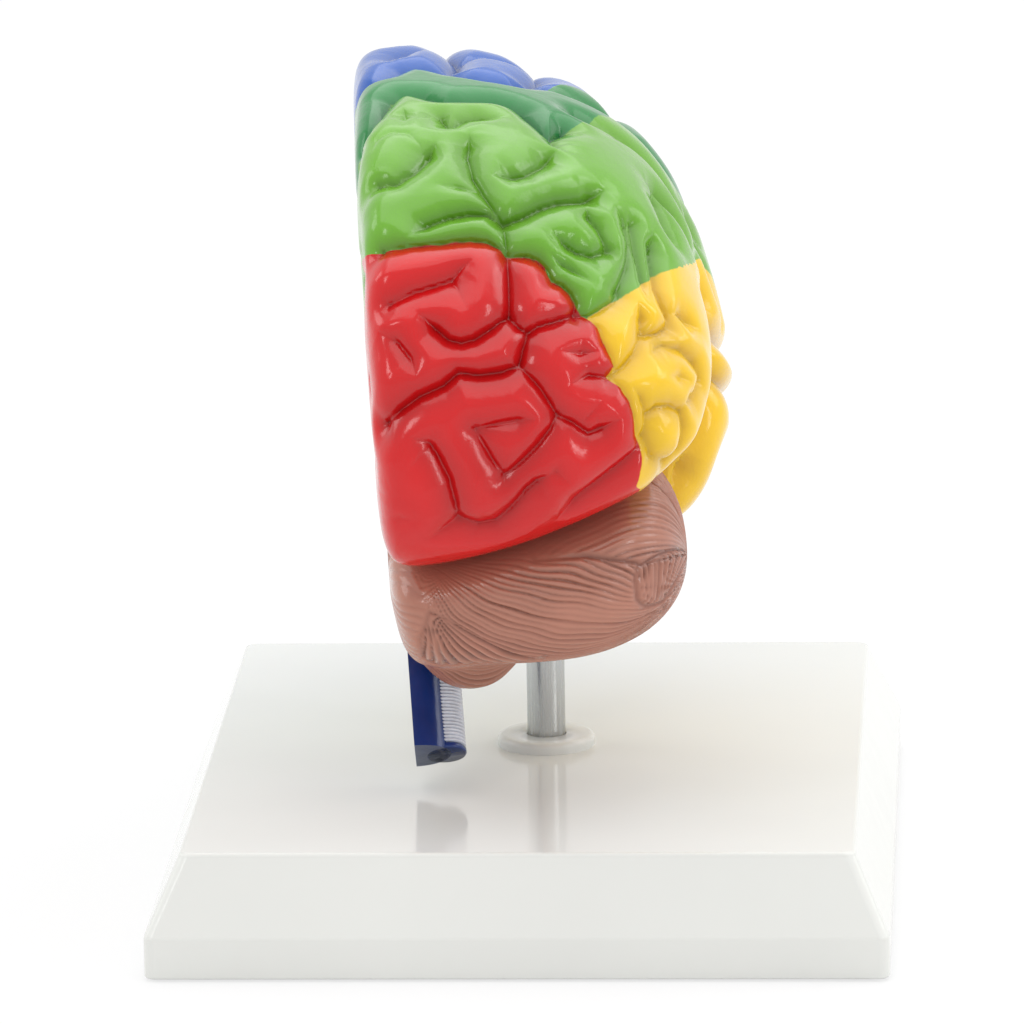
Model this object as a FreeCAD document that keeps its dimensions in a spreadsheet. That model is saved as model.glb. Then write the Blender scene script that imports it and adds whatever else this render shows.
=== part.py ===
"""Brain anatomy model: the painted right half of a life-size brain on a post and a white stand."""
import FreeCAD
import Part
import Sketcher
import math
import os

Vector = FreeCAD.Vector

# Driving dimensions, millimetres and degrees
SIZES = {
    "base_width": 136.0,
    "base_depth": 171.3,
    "base_outset": 7.2,
    "base_top": 25.0,
    "plinth_height": 8.4,
    "foot_drop": 0.6,
    "shell_wall": 2.6,
    "corner_round": 2.4,
    "rim_bevel": 0.7,
    "rib_wall": 1.8,
    "rib_height": 9.0,
    "boss_diameter": 19.0,
    "boss_clear": 6.4,
    "pad_side": 13.0,
    "pad_inset": 15.0,
    "foot_diameter": 11.0,
    "foot_height": 2.4,
    "post_across": 2.0,
    "post_diameter": 8.0,
    "post_seat": 9.0,
    "post_stand": 46.5,
    "socket_depth": 30.0,
    "post_chamfer": 0.8,
    "fit_clearance": 0.05,
    "collar_diameter": 20.4,
    "collar_height": 2.4,
    "collar_bevel": 0.8,
    "screw_diameter": 4.0,
    "screw_length": 16.0,
    "screw_head": 7.0,
    "screw_head_height": 2.4,
    "screw_slot": 1.0,
    "washer_diameter": 11.0,
    "washer_height": 0.9,
    "bush_diameter": 14.0,
    "bush_cap": 2.5,
    "brain_tilt": 3.4,
    "brain_turn": 4.1,
    "medial_offset": 28.5,
    "glue_gap": 0.08,
    "groove_width": 6.6,
    "groove_depth": 3.6,
    "stem_top": 71.9,
}

doc = FreeCAD.newDocument("brain_model")
sheet = doc.addObject("Spreadsheet::Sheet", "sizes")
for row, (alias, value) in enumerate(SIZES.items(), start=1):
    sheet.set("A%d" % row, alias)
    sheet.set("B%d" % row, str(value))
    sheet.setAlias("B%d" % row, alias)
doc.recompute()

# The sheet's values as numbers, for the skins that are worked out point by point
given = {alias: float(sheet.get(alias)) for alias in SIZES}

# Height of the socket mouth above the stand in the casting's own frame
MOUTH_LEVEL = 46.5
MOUTH_CLEAR = 15.0

# The four feet: sides inward or outward, rearward or forward
FOOT_SIGNS = [(-1, -1), (1, -1), (-1, 1), (1, 1)]

# Lobes of the casting: centre, half width, lengths ahead and behind, heights up and down, fullness
CEREBRUM_LOBES = [
    ((-28.5, 8.0, 80.0), 72.5, (76.0, 90.0), (63.5, 24.0), 2.6),
    ((-18.0, -50.0, 76.0), 42.0, (36.0, 31.0), (34.0, 27.0), 2.4),
    ((13.0, 0.0, 68.0), 27.5, (52.0, 50.0), (24.0, 23.0), 2.5),
    ((-20.0, 46.0, 90.0), 36.0, (34.0, 34.0), (44.5, 30.0), 2.3),
]
CEREBELLUM_LOBES = [
    ((3.0, -46.0, 52.0), 30.5, (30.0, 31.0), (26.0, 20.5), 2.3),
    ((-20.0, -44.0, 52.0), 13.0, (30.0, 28.0), (26.0, 19.5), 2.3),
    ((-12.0, -36.0, 38.0), 11.0, (12.0, 13.0), (14.0, 15.0), 2.2),
]
CEREBRUM_HEART = Vector(-3.0, -6.0, 94.0)
CEREBELLUM_HEART = Vector(-10.0, -46.0, 48.0)
CEREBRUM_STRETCH = Vector(0.45, 1.0, 0.62)
CEREBELLUM_STRETCH = Vector(0.8, 0.8, 0.65)
CEREBRUM_BLEND = 4.0
CEREBELLUM_BLEND = 2.5
EDGE_BLEND = 2.0
LOWER_EDGE_BLEND = 4.5
MEDIAL_EDGE_BLEND = 2.5
NOTCH_BLEND = 1.5

# The inner face of the cerebellum stands back from the middle plane, more so towards its foot
CEREBELLUM_INSET = 0.8
CEREBELLUM_INNER_LEAN = 0.10

# Planes around the cerebellum: a point on each, and how it climbs or leans forward and outward
ROOF_POINT = Vector(-14.0, -75.0, 54.0)
ROOF_SLOPES = (0.40, 0.20)
WALL_POINT = Vector(-10.0, -33.0, 21.0)
WALL_SLOPES = (0.35, -0.20)

# Room left in the underside for the brain stem: its outer side, its lean, its middle and half length
STEM_ROOM_SIDE = -8.0
STEM_ROOM_LEVEL = 48.0
STEM_ROOM_LEAN = 0.25
STEM_ROOM_MIDDLE = -8.0
STEM_ROOM_HALF = 15.0

# Triangles along one edge of the twenty-sided start shape
CEREBRUM_STEPS = 20
CEREBELLUM_STEPS = 9

# Eye of the reference view, from behind and a little above
EYE_FOCAL = 9179.0
EYE_DISTANCE = 1919.0
EYE_ELEVATION = 13.5
EYE_YAW = 3.25
EYE_ROLL = -0.96
EYE_TARGET = Vector(-4.5, 0.0, 75.0)
PICTURE_CENTRE = 512.0

# Grooves seen from behind, in picture pixels: start fades, end fades, depth share, points
REAR_GROOVES = [
    (0, 0, 1.0, [(352, 157), (360, 138), (369, 116), (385, 92), (398, 88), (419, 88), (441, 94),
                 (463, 94), (493, 95), (524, 104), (539, 117), (552, 128), (567, 122), (594, 118)]),
    (0, 0, 0.9, [(350, 101), (361, 87), (378, 74), (398, 63), (419, 62), (439, 64), (459, 70),
                 (487, 75), (515, 80), (545, 80)]),
    (1, 1, 0.7, [(402, 108), (402, 117)]),
    (1, 0, 0.9, [(447, 119), (434, 140), (422, 153), (409, 166), (391, 178), (374, 181), (354, 168)]),
    (1, 1, 0.5, [(372, 166), (396, 166)]),
    (0, 1, 0.8, [(434, 96), (439, 110), (447, 119), (459, 113), (474, 111), (500, 114)]),
    (1, 0, 0.8, [(469, 131), (466, 149), (472, 172), (483, 190), (495, 207), (504, 219)]),
    (1, 0, 0.5, [(436, 183), (458, 184), (480, 188)]),
    (1, 0, 1.0, [(404, 235), (422, 222), (445, 213), (467, 209), (487, 209), (504, 219)]),
    (1, 1, 0.9, [(493, 172), (507, 172), (526, 168), (544, 158), (558, 147)]),
    (0, 1, 0.7, [(552, 128), (557, 140), (568, 148)]),
    (0, 1, 1.1, [(504, 219), (524, 212), (543, 202), (561, 196), (589, 194), (607, 188),
                 (619, 176), (622, 160)]),
    (0, 0, 0.8, [(504, 219), (506, 235), (508, 253)]),
    (1, 0, 0.9, [(554, 230), (567, 241), (581, 250), (598, 254), (614, 248)]),
    (1, 0, 0.8, [(589, 198), (593, 214), (604, 226), (614, 248)]),
    (1, 1, 0.7, [(548, 250), (563, 262), (580, 272), (594, 282)]),
    (1, 1, 0.7, [(636, 195), (638, 222)]),
    (1, 1, 0.8, [(655, 187), (662, 204), (672, 228), (684, 250)]),
    (1, 0, 0.8, [(619, 206), (631, 222), (637, 243), (633, 267), (622, 294)]),
    (0, 1, 0.8, [(638, 222), (643, 250), (650, 283), (652, 300)]),
    (1, 0, 0.9, [(657, 233), (659, 262), (664, 290), (676, 318), (679, 329), (667, 336), (649, 338)]),
    (0, 0, 0.8, [(579, 317), (594, 317), (617, 304), (626, 294)]),
    (0, 0, 0.9, [(357, 262), (378, 250), (397, 245), (436, 241), (469, 237), (487, 239), (501, 246),
                 (508, 254), (528, 254), (540, 258), (550, 268), (556, 281), (566, 285), (575, 294),
                 (580, 305), (579, 317)]),
    (0, 0, 0.8, [(361, 314), (386, 305), (409, 293), (432, 286), (450, 280)]),
    (0, 1, 0.6, [(450, 280), (460, 268), (472, 258)]),
    (0, 1, 0.5, [(450, 280), (458, 291), (464, 304)]),
    (0, 0, 0.9, [(508, 254), (510, 290), (510, 319)]),
    (0, 1, 1.0, [(510, 319), (501, 323), (489, 332), (473, 342), (459, 345), (446, 342), (432, 330),
                 (418, 314)]),
    (0, 0, 0.9, [(510, 319), (521, 330), (530, 335), (540, 328), (558, 323), (579, 317)]),
    (0, 0, 1.0, [(530, 335), (524, 355), (521, 369), (501, 376), (478, 379), (457, 376), (441, 390),
                 (416, 401), (397, 415), (371, 442)]),
    (0, 0, 0.8, [(521, 369), (540, 389), (553, 408), (560, 420)]),
    (0, 0, 0.8, [(560, 420), (553, 433), (540, 450), (524, 466), (505, 482)]),
    (0, 0, 0.7, [(505, 482), (491, 463), (475, 433)]),
    (0, 1, 0.7, [(475, 433), (500, 427), (540, 421)]),
    (1, 1, 0.6, [(562, 351), (583, 355), (606, 351)]),
    (1, 0, 0.7, [(572, 385), (592, 378), (615, 381)]),
    (0, 1, 0.8, [(560, 420), (576, 427), (592, 438), (606, 432), (622, 421)]),
    (1, 0, 0.4, [(604, 401), (588, 422)]),
    (1, 0, 0.8, [(411, 440), (427, 447), (438, 465), (448, 486), (454, 509), (457, 525)]),
    (0, 1, 0.8, [(457, 525), (478, 531), (496, 528), (512, 514), (528, 495), (542, 484), (557, 475)]),
    (0, 1, 0.5, [(557, 475), (572, 486)]),
    (0, 1, 0.6, [(457, 525), (441, 534), (429, 541)]),
    (1, 0, 0.7, [(560, 519), (581, 502), (604, 484), (629, 465), (643, 452)]),
    (1, 1, 0.7, [(377, 332), (395, 344), (409, 362), (416, 379)]),
    (1, 1, 0.3, [(393, 518), (416, 520)]),
    (1, 1, 0.3, [(386, 482), (392, 492)]),
    (0, 0, 0.6, [(592, 319), (602, 328), (607, 344), (615, 358), (619, 369), (615, 381)]),
    (0, 1, 0.6, [(615, 381), (625, 390), (634, 404), (639, 422), (641, 440), (646, 452), (646, 466)]),
    (1, 0, 0.8, [(641, 302), (648, 318), (649, 338), (640, 357), (627, 371), (615, 381)]),
    (1, 1, 0.7, [(676, 312), (689, 318), (703, 332), (712, 354), (714, 379)]),
    (1, 1, 0.8, [(651, 357), (671, 348), (689, 352), (703, 366), (707, 384), (701, 402), (688, 408)]),
    (1, 1, 0.5, [(671, 376), (685, 379), (697, 383)]),
    (1, 0, 0.7, [(634, 386), (645, 399), (652, 419), (648, 440)]),
    (0, 0, 0.8, [(648, 440), (656, 461), (671, 467), (683, 454), (690, 433), (688, 415), (676, 410),
                 (662, 411), (652, 419)]),
    (1, 1, 0.7, [(691, 436), (693, 456), (686, 477), (674, 491)]),
]

# Grooves of the outer side, forward and up, on the part that the rear view does not reach
SIDE_GROOVES = [
    (0, 1, 1.3, [(50, 60), (40, 66), (28, 71), (12, 77), (-4, 84), (-16, 91), (-25, 98)]),
    (0, 1, 0.8, [(28, 71), (32, 80), (33, 88)]),
    (0, 1, 0.8, [(40, 66), (46, 75), (48, 84)]),
    (0, 0, 1.0, [(-2, 134), (2, 124), (0, 114), (5, 103), (5, 94), (9, 86)]),
    (0, 0, 1.0, [(16, 137), (20, 126), (18, 115), (24, 104), (24, 94), (28, 84)]),
    (1, 1, 0.9, [(-18, 122), (-13, 113), (-13, 104), (-8, 96), (-6, 90)]),
    (0, 1, 0.9, [(20, 126), (33, 128), (46, 122), (60, 114), (72, 103)]),
    (0, 1, 0.9, [(24, 100), (37, 102), (48, 95), (60, 91), (71, 83)]),
    (1, 0, 0.7, [(38, 114), (49, 108), (60, 91)]),
    (1, 1, 0.7, [(34, 113), (36, 121)]),
    (0, 1, 0.7, [(48, 95), (52, 84), (60, 74)]),
    (1, 1, 0.7, [(60, 102), (68, 96), (76, 92)]),
    (1, 1, 0.7, [(68, 72), (76, 78), (80, 86)]),
    (1, 1, 0.7, [(9, 112), (11, 101)]),
    (1, 0, 1.0, [(54, 58), (41, 58), (27, 62), (12, 66), (-2, 71), (-14, 77), (-24, 86)]),
    (1, 1, 0.9, [(44, 49), (28, 52), (14, 55), (0, 57), (-13, 62)]),
    (0, 0, 0.6, [(27, 62), (22, 57), (21, 53)]),
    (0, 0, 0.6, [(-2, 71), (-4, 64), (-2, 57)]),
    (1, 1, 0.6, [(18, 70), (10, 72)]),
]

# Grooves of the crown ahead of the rear view, outward and forward
TOP_GROOVES = [
    (0, 1, 1.0, [(-7, 20), (-6, 33), (-9, 46), (-8, 58), (-12, 70)]),
    (1, 0, 0.8, [(-20, 26), (-18, 36), (-9, 46)]),
    (1, 1, 0.8, [(-21, 47), (-19, 58), (-22, 68)]),
    (0, 1, 0.9, [(9, 18), (12, 31), (10, 42), (12, 55), (6, 66)]),
    (0, 0, 0.7, [(-6, 33), (3, 36), (12, 31)]),
    (0, 1, 0.7, [(10, 42), (20, 44), (27, 40)]),
]

# Grooves of the front, outward and up
FRONT_GROOVES = [
    (1, 1, 0.9, [(-14, 118), (-12, 107), (-15, 96), (-13, 84)]),
    (1, 1, 0.9, [(2, 116), (4, 104), (1, 93), (4, 82), (0, 72)]),
    (1, 0, 0.7, [(-24, 100), (-15, 96)]),
    (1, 0, 0.7, [(15, 96), (8, 98), (4, 104)]),
    (1, 1, 0.7, [(-22, 76), (-13, 72), (-4, 64)]),
    (1, 1, 0.8, [(18, 88), (15, 78), (19, 69)]),
]

# Grooves of the flat inner face, forward and up
INNER_GROOVES = [
    (1, 1, 0.9, [(34, 84), (46, 92), (48, 106), (38, 116), (20, 121), (0, 121), (-18, 117), (-28, 124),
                 (-32, 136)]),
    (1, 1, 1.0, [(22, 86), (31, 92), (32, 100), (24, 106), (6, 109), (-14, 106), (-26, 98), (-28, 90)]),
    (1, 1, 0.8, [(20, 92), (24, 96), (20, 99), (4, 101), (-14, 98), (-20, 92)]),
    (0, 1, 1.0, [(-30, 84), (-42, 92), (-52, 104), (-60, 116)]),
    (0, 1, 1.0, [(-30, 84), (-46, 82), (-60, 84), (-74, 80)]),
    (1, 1, 0.8, [(-30, 112), (-42, 110), (-50, 120)]),
    (1, 1, 0.7, [(-64, 96), (-74, 94)]),
    (1, 1, 0.8, [(60, 100), (66, 112), (58, 124), (44, 130)]),
    (1, 1, 0.7, [(58, 80), (66, 88), (72, 100)]),
    (1, 1, 0.7, [(4, 130), (12, 126)]),
    (1, 1, 0.8, [(40, 72), (54, 74), (64, 70)]),
]

# Grooves of the underside, outward and forward
UNDER_GROOVES = [
    (1, 1, 0.9, [(14, -16), (16, -2), (15, 14), (17, 30), (12, 40)]),
    (1, 1, 0.8, [(30, -18), (31, -2), (29, 14), (30, 28)]),
    (1, 1, 0.8, [(-18, 56), (-16, 66), (-18, 76)]),
    (1, 1, 0.7, [(-8, 60), (0, 64), (8, 60)]),
]

# A groove that fades starts at a share of its depth and deepens over this length
FADE_START = 0.25
FADE_LENGTH = 6.0

# How far, how strong and how far apart grooves must be to draw points in, in shares of the pitch
SNAP_REACH = 0.55
SNAP_STRENGTH = 0.3
SNAP_APART = 0.5

NORMAL_STEP = 0.4
LEAST_SLOPE = 0.5
LEAST_TWIST = 1e-3
UNTANGLE_ROUNDS = 4
PIXELS_A_MILLIMETRE = 4.8
GROOVE_SPACING = 4.0
GROOVE_SUM_POWER = 4.0
REACH = 150.0
FINE_HALVINGS = 22
ROUGH_HALVINGS = 6
GUESS_BAND = 5.0
EVEN_ROUNDS = 26
EVEN_SHARE = 0.7
REAR_START = 20.0
REAR_DEPTH = 55.0
REAR_WEIGHT = 1.5
HIDDEN_WEIGHT = 0.55
UNDERSIDE_LEVEL = 58.0


def blend_min(values, softness):
    """Smooth lowest value: shapes joined with a rounded valley."""
    low = min(values)
    total = sum(math.exp((low - value) / softness) for value in values)
    return low - softness * math.log(total)


def blend_max(values, softness):
    """Smooth highest value: shapes trimmed with a rounded edge."""
    high = max(values)
    total = sum(math.exp((value - high) / softness) for value in values)
    return high + softness * math.log(total)


def lobe_field(point, lobe):
    """Signed measure of one lobe: negative inside, zero on its skin."""
    centre, half_width, lengths, heights, fullness = lobe
    across = abs(point[0] - centre[0]) / half_width
    run = point[1] - centre[1]
    along = run / lengths[0] if run > 0 else -run / lengths[1]
    rise = point[2] - centre[2]
    upward = rise / heights[0] if rise > 0 else -rise / heights[1]
    total = across ** fullness + along ** fullness + upward ** fullness
    return (total ** (1.0 / fullness) - 1.0) * min(half_width, lengths[0], heights[1])


def roof_plane(point):
    """Distance above the sloping plane between the occipital lobe and the cerebellum."""
    forward, outward = ROOF_SLOPES
    level = ROOF_POINT.z + forward * (point[1] - ROOF_POINT.y) + outward * (point[0] - ROOF_POINT.x)
    return (point[2] - level) / math.sqrt(1.0 + forward ** 2 + outward ** 2)


def front_wall(point):
    """Distance ahead of the leaning plane in front of the cerebellum."""
    upward, outward = WALL_SLOPES
    place = WALL_POINT.y + upward * (point[2] - WALL_POINT.z) + outward * (point[0] - WALL_POINT.x)
    return (point[1] - place) / math.sqrt(1.0 + upward ** 2 + outward ** 2)


def cerebrum_field(point):
    body = blend_min([lobe_field(point, lobe) for lobe in CEREBRUM_LOBES], CEREBRUM_BLEND)
    body = blend_max([body, -given["medial_offset"] - point[0]], MEDIAL_EDGE_BLEND)
    notch = blend_max([roof_plane(point), front_wall(point)], NOTCH_BLEND)
    body = blend_max([body, -notch], LOWER_EDGE_BLEND)
    stem_side = point[0] - (STEM_ROOM_SIDE - STEM_ROOM_LEAN * (point[2] - STEM_ROOM_LEVEL))
    stem_roof = point[2] - given["stem_top"] - given["glue_gap"]
    stem_ends = abs(point[1] - STEM_ROOM_MIDDLE) - STEM_ROOM_HALF
    stem_room = blend_max([stem_side, stem_roof, stem_ends], NOTCH_BLEND)
    return blend_max([body, -stem_room], EDGE_BLEND)


def cerebellum_field(point):
    body = blend_min([lobe_field(point, lobe) for lobe in CEREBELLUM_LOBES], CEREBELLUM_BLEND)
    depth = max(0.0, CEREBELLUM_HEART.z - point[2])
    inner = CEREBELLUM_INSET + CEREBELLUM_INNER_LEAN * depth - given["medial_offset"]
    body = blend_max([body, inner - point[0]], EDGE_BLEND)
    gap = given["glue_gap"]
    return blend_max([body, roof_plane(point) + gap, front_wall(point) + gap], EDGE_BLEND)


def skin_distance(field, heart, direction, guess=None):
    """Distance from the heart to the skin along a direction, found sooner near a good guess."""
    inner, outer, halvings = 0.0, REACH, FINE_HALVINGS
    if guess is not None:
        low, high = guess - GUESS_BAND, guess + GUESS_BAND
        if low > 0 and field(heart + direction * low) < 0 < field(heart + direction * high):
            inner, outer, halvings = low, high, ROUGH_HALVINGS
    for _ in range(halvings):
        middle = (inner + outer) / 2.0
        if field(heart + direction * middle) < 0:
            inner = middle
        else:
            outer = middle
    return (inner + outer) / 2.0


def skin_normal(field, point):
    step = NORMAL_STEP
    slope = Vector(
        field(point + Vector(step, 0, 0)) - field(point - Vector(step, 0, 0)),
        field(point + Vector(0, step, 0)) - field(point - Vector(0, step, 0)),
        field(point + Vector(0, 0, step)) - field(point - Vector(0, 0, step)))
    return slope.normalize()


def first_hit(field, start, direction, length, step=3.0):
    """First point of the skin along a line, or None where the line misses it."""
    travel = 0.0
    while travel < length and field(start + direction * travel) > 0:
        travel += step
    if travel >= length:
        return None
    outside, inside = max(travel - step, 0.0), travel
    for _ in range(14):
        middle = (outside + inside) / 2.0
        if field(start + direction * middle) > 0:
            outside = middle
        else:
            inside = middle
    return start + direction * inside


def geodesic_sphere(steps):
    """Unit directions and triangles of a twenty-sided ball with each edge cut into steps."""
    golden = (1.0 + math.sqrt(5.0)) / 2.0
    corners = []
    for one in (-1.0, 1.0):
        for two in (-golden, golden):
            corners += [Vector(0, one, two), Vector(one, two, 0), Vector(two, 0, one)]
    edge = min((corners[0] - corner).Length for corner in corners[1:])
    near = [[(a - b).Length < edge * 1.1 and a is not b for b in corners] for a in corners]
    sides = [(i, j, k) for i in range(12) for j in range(i + 1, 12) for k in range(j + 1, 12)
             if near[i][j] and near[j][k] and near[i][k]]
    directions, index, triangles = [], {}, []

    def vertex(a, b, c, along, across):
        point = a * (steps - along - across) + b * along + c * across
        point = Vector(point.x, point.y, point.z).normalize()
        key = (round(point.x, 6), round(point.y, 6), round(point.z, 6))
        if key not in index:
            index[key] = len(directions)
            directions.append(point)
        return index[key]

    for i, j, k in sides:
        a, b, c = corners[i], corners[j], corners[k]
        if (b - a).cross(c - a).dot(a) < 0:
            b, c = c, b
        for along in range(steps):
            for across in range(steps - along):
                first = vertex(a, b, c, along, across)
                second = vertex(a, b, c, along + 1, across)
                third = vertex(a, b, c, along, across + 1)
                triangles.append((first, second, third))
                if along + across < steps - 1:
                    fourth = vertex(a, b, c, along + 1, across + 1)
                    triangles.append((second, fourth, third))
    return directions, triangles


def neighbours_of(count, triangles):
    near = [set() for _ in range(count)]
    for a, b, c in triangles:
        near[a].update((b, c))
        near[b].update((a, c))
        near[c].update((a, b))
    return near


def closeness(point):
    """How closely the skin is divided at a point: most on the rear, least where nothing shows."""
    rear = min(1.0, max(0.0, (REAR_START - point.y) / REAR_DEPTH))
    weight = 1.0 + REAR_WEIGHT * rear
    if point.x < -given["medial_offset"] + EDGE_BLEND or point.z < UNDERSIDE_LEVEL:
        weight *= HIDDEN_WEIGHT
    return weight


def even_skin(field, heart, stretch, steps, rounds=EVEN_ROUNDS):
    """Points of a skin spread over it, with their triangles and neighbours."""
    ball, triangles = geodesic_sphere(steps)
    directions = [Vector(spot.x * stretch.x, spot.y * stretch.y, spot.z * stretch.z).normalize()
                  for spot in ball]
    near = neighbours_of(len(directions), triangles)
    radii = [skin_distance(field, heart, direction) for direction in directions]
    points = [heart + direction * radius for direction, radius in zip(directions, radii)]
    for _ in range(rounds):
        weights = [closeness(point) for point in points]
        moved = []
        for number, point in enumerate(points):
            middle, total = Vector(0, 0, 0), 0.0
            for other in near[number]:
                middle += points[other] * weights[other]
                total += weights[other]
            eased = point * (1.0 - EVEN_SHARE) + middle * (EVEN_SHARE / total)
            direction = (eased - heart).normalize()
            radii[number] = skin_distance(field, heart, direction, radii[number])
            moved.append(heart + direction * radii[number])
        points = moved
    return points, triangles, near


def smooth_curve(points, spacing):
    """Points along a smooth curve through the given points (tuples of numbers)."""
    padded = [points[0]] + list(points) + [points[-1]]
    curve = []
    for number in range(1, len(padded) - 2):
        before, start, end, after = padded[number - 1:number + 3]
        pieces = max(1, int(math.dist(start, end) / spacing))
        for piece in range(pieces):
            t = piece / pieces
            curve.append(tuple(
                0.5 * (2 * q + (r - p) * t + (2 * p - 5 * q + 4 * r - s) * t * t
                       + (3 * q - p - 3 * r + s) * t ** 3)
                for p, q, r, s in zip(before, start, end, after)))
    curve.append(tuple(float(value) for value in points[-1]))
    return curve


def eye_frame():
    yaw, rise, roll = (math.radians(a) for a in (EYE_YAW, EYE_ELEVATION, EYE_ROLL))
    back = Vector(math.sin(yaw) * math.cos(rise), -math.cos(yaw) * math.cos(rise), math.sin(rise))
    ahead = back * -1.0
    level = ahead.cross(Vector(0, 0, 1)).normalize()
    over = level.cross(ahead)
    right = level * math.cos(roll) + over * math.sin(roll)
    up = over * math.cos(roll) - level * math.sin(roll)
    return EYE_TARGET + back * EYE_DISTANCE, ahead, right, up


def brain_turn():
    tilt = FreeCAD.Rotation(Vector(0, 1, 0), -given["brain_tilt"])
    turn = FreeCAD.Rotation(Vector(0, 0, 1), given["brain_turn"])
    return turn.multiply(tilt)


def brain_placement():
    """Casting frame to stand frame: the mouth of the socket sits at the top of the bare post."""
    lift = given["base_top"] + given["post_stand"] - MOUTH_LEVEL
    return FreeCAD.Placement(Vector(0, 0, lift), brain_turn())


def rear_line(pixel):
    """Line of sight through a picture pixel, in the casting's frame."""
    eye, ahead, right, up = eye_frame()
    aim = ahead + right * ((pixel[0] - PICTURE_CENTRE) / EYE_FOCAL)
    aim = aim + up * ((PICTURE_CENTRE - pixel[1]) / EYE_FOCAL)
    undo = FreeCAD.Placement(Vector(0, 0, given["base_top"]), brain_turn()).inverse()
    start = undo.multVec(eye + aim.normalize() * (EYE_DISTANCE - REACH))
    return start, undo.Rotation.multVec(aim).normalize()


def side_line(spot):
    return Vector(REACH, spot[0], spot[1]), Vector(-1, 0, 0)


def top_line(spot):
    return Vector(spot[0], spot[1], 200.0), Vector(0, 0, -1)


def front_line(spot):
    return Vector(spot[0], REACH, spot[1]), Vector(0, -1, 0)


def inner_line(spot):
    return Vector(-REACH, spot[0], spot[1]), Vector(1, 0, 0)


def under_line(spot):
    return Vector(spot[0], spot[1], 0.0), Vector(0, 0, 1)


def laid_grooves(field):
    """Every groove as a chain of points on the skin, with its fades and depth share."""
    families = [
        (REAR_GROOVES, rear_line, GROOVE_SPACING * PIXELS_A_MILLIMETRE),
        (SIDE_GROOVES, side_line, GROOVE_SPACING),
        (TOP_GROOVES, top_line, GROOVE_SPACING),
        (FRONT_GROOVES, front_line, GROOVE_SPACING),
        (INNER_GROOVES, inner_line, GROOVE_SPACING),
        (UNDER_GROOVES, under_line, GROOVE_SPACING),
    ]
    laid = []
    for grooves, line, spacing in families:
        for start_fades, end_fades, share, spots in grooves:
            chain = []
            for spot in smooth_curve(spots, spacing):
                start, direction = line(spot)
                hit = first_hit(field, start, direction, 2.2 * REACH)
                if hit is not None:
                    chain.append(hit)
            if len(chain) > 1:
                laid.append(groove_record(chain, start_fades, end_fades, share))
    return laid


def groove_record(chain, start_fades, end_fades, share):
    marks = [0.0]
    for before, after in zip(chain, chain[1:]):
        marks.append(marks[-1] + (after - before).Length)
    middle = chain[len(chain) // 2]
    radius = max((point - middle).Length for point in chain)
    return chain, marks, start_fades, end_fades, share, middle, radius


def nearest_on(groove, point, reach):
    """Distance, nearest point and depth share of a groove near a point, or None."""
    chain, marks, start_fades, end_fades, share, middle, radius = groove
    if (point - middle).Length > radius + reach:
        return None
    best = None
    for number in range(len(chain) - 1):
        start = chain[number]
        run = chain[number + 1] - start
        span = run.dot(run)
        if span < 1e-9:
            continue
        t = min(1.0, max(0.0, (point - start).dot(run) / span))
        spot = start + run * t
        gap = (point - spot).Length
        if best is None or gap < best[0]:
            best = (gap, spot, marks[number] + t * math.sqrt(span))
    if best is None or best[0] > reach:
        return None
    strength = share
    if start_fades:
        strength *= min(1.0, FADE_START + best[2] / FADE_LENGTH)
    if end_fades:
        strength *= min(1.0, FADE_START + (marks[-1] - best[2]) / FADE_LENGTH)
    return best[0], best[1], strength


def groove_profile(gap, width):
    """Share of the full depth at a distance from a groove: a rounded bank, steep at the bottom."""
    if gap >= width:
        return 0.0
    bank = 1.0 - gap / width
    return 1.0 - math.sqrt(1.0 - bank * bank)


def groove_depth_at(point, grooves):
    width, depth = given["groove_width"], given["groove_depth"]
    total = 0.0
    for groove in grooves:
        found = nearest_on(groove, point, width)
        if found:
            total += (depth * found[2] * groove_profile(found[0], width)) ** GROOVE_SUM_POWER
    return total ** (1.0 / GROOVE_SUM_POWER)


def snap_to_grooves(points, near, grooves):
    """Moves skin points that lie close to a groove onto it, so that its bed is one clean line."""
    moves = []
    for number, point in enumerate(points):
        pitch = sum((points[other] - point).Length for other in near[number]) / len(near[number])
        for groove in grooves:
            found = nearest_on(groove, point, SNAP_REACH * pitch)
            if found and found[2] > SNAP_STRENGTH:
                moves.append((found[0], number, found[1], pitch))
    moves.sort(key=lambda move: move[0])
    snapped = {}
    for _, number, spot, pitch in moves:
        if number in snapped:
            continue
        taken = [snapped[other] for other in near[number] if other in snapped]
        if all((other - spot).Length > SNAP_APART * pitch for other in taken):
            snapped[number] = spot
    return [snapped.get(number, point) for number, point in enumerate(points)]


def carved_points(field, heart, points, grooves):
    carved = []
    for point in points:
        direction = (point - heart).normalize()
        skin = heart + direction * skin_distance(field, heart, direction)
        depth = groove_depth_at(skin, grooves)
        if depth > 0:
            slope = max(LEAST_SLOPE, skin_normal(field, skin).dot(direction))
            skin = skin - direction * (depth / slope)
        carved.append(skin)
    return carved


def untangled(heart, points, plain, triangles):
    """Puts back each point whose move turned a triangle over."""
    points = list(points)
    for _ in range(UNTANGLE_ROUNDS):
        bad = set()
        for a, b, c in triangles:
            side = (points[b] - points[a]).cross(points[c] - points[a])
            if side.dot(points[a] - heart) < LEAST_TWIST:
                bad.update((a, b, c))
        if not bad:
            return points
        for number in bad:
            points[number] = plain[number]
    return points


def faceted_solid(points, triangles):
    shape = Part.Shape()
    shape.makeShapeFromMesh((points, triangles), 1e-4)
    solid = Part.Solid(Part.Shell(shape.Faces))
    if solid.Volume < 0:
        solid.reverse()
    return solid


def size(name):
    return "sizes." + name


def body_named(name):
    body = doc.addObject("PartDesign::Body", name)
    body.Label = name
    return body


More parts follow.
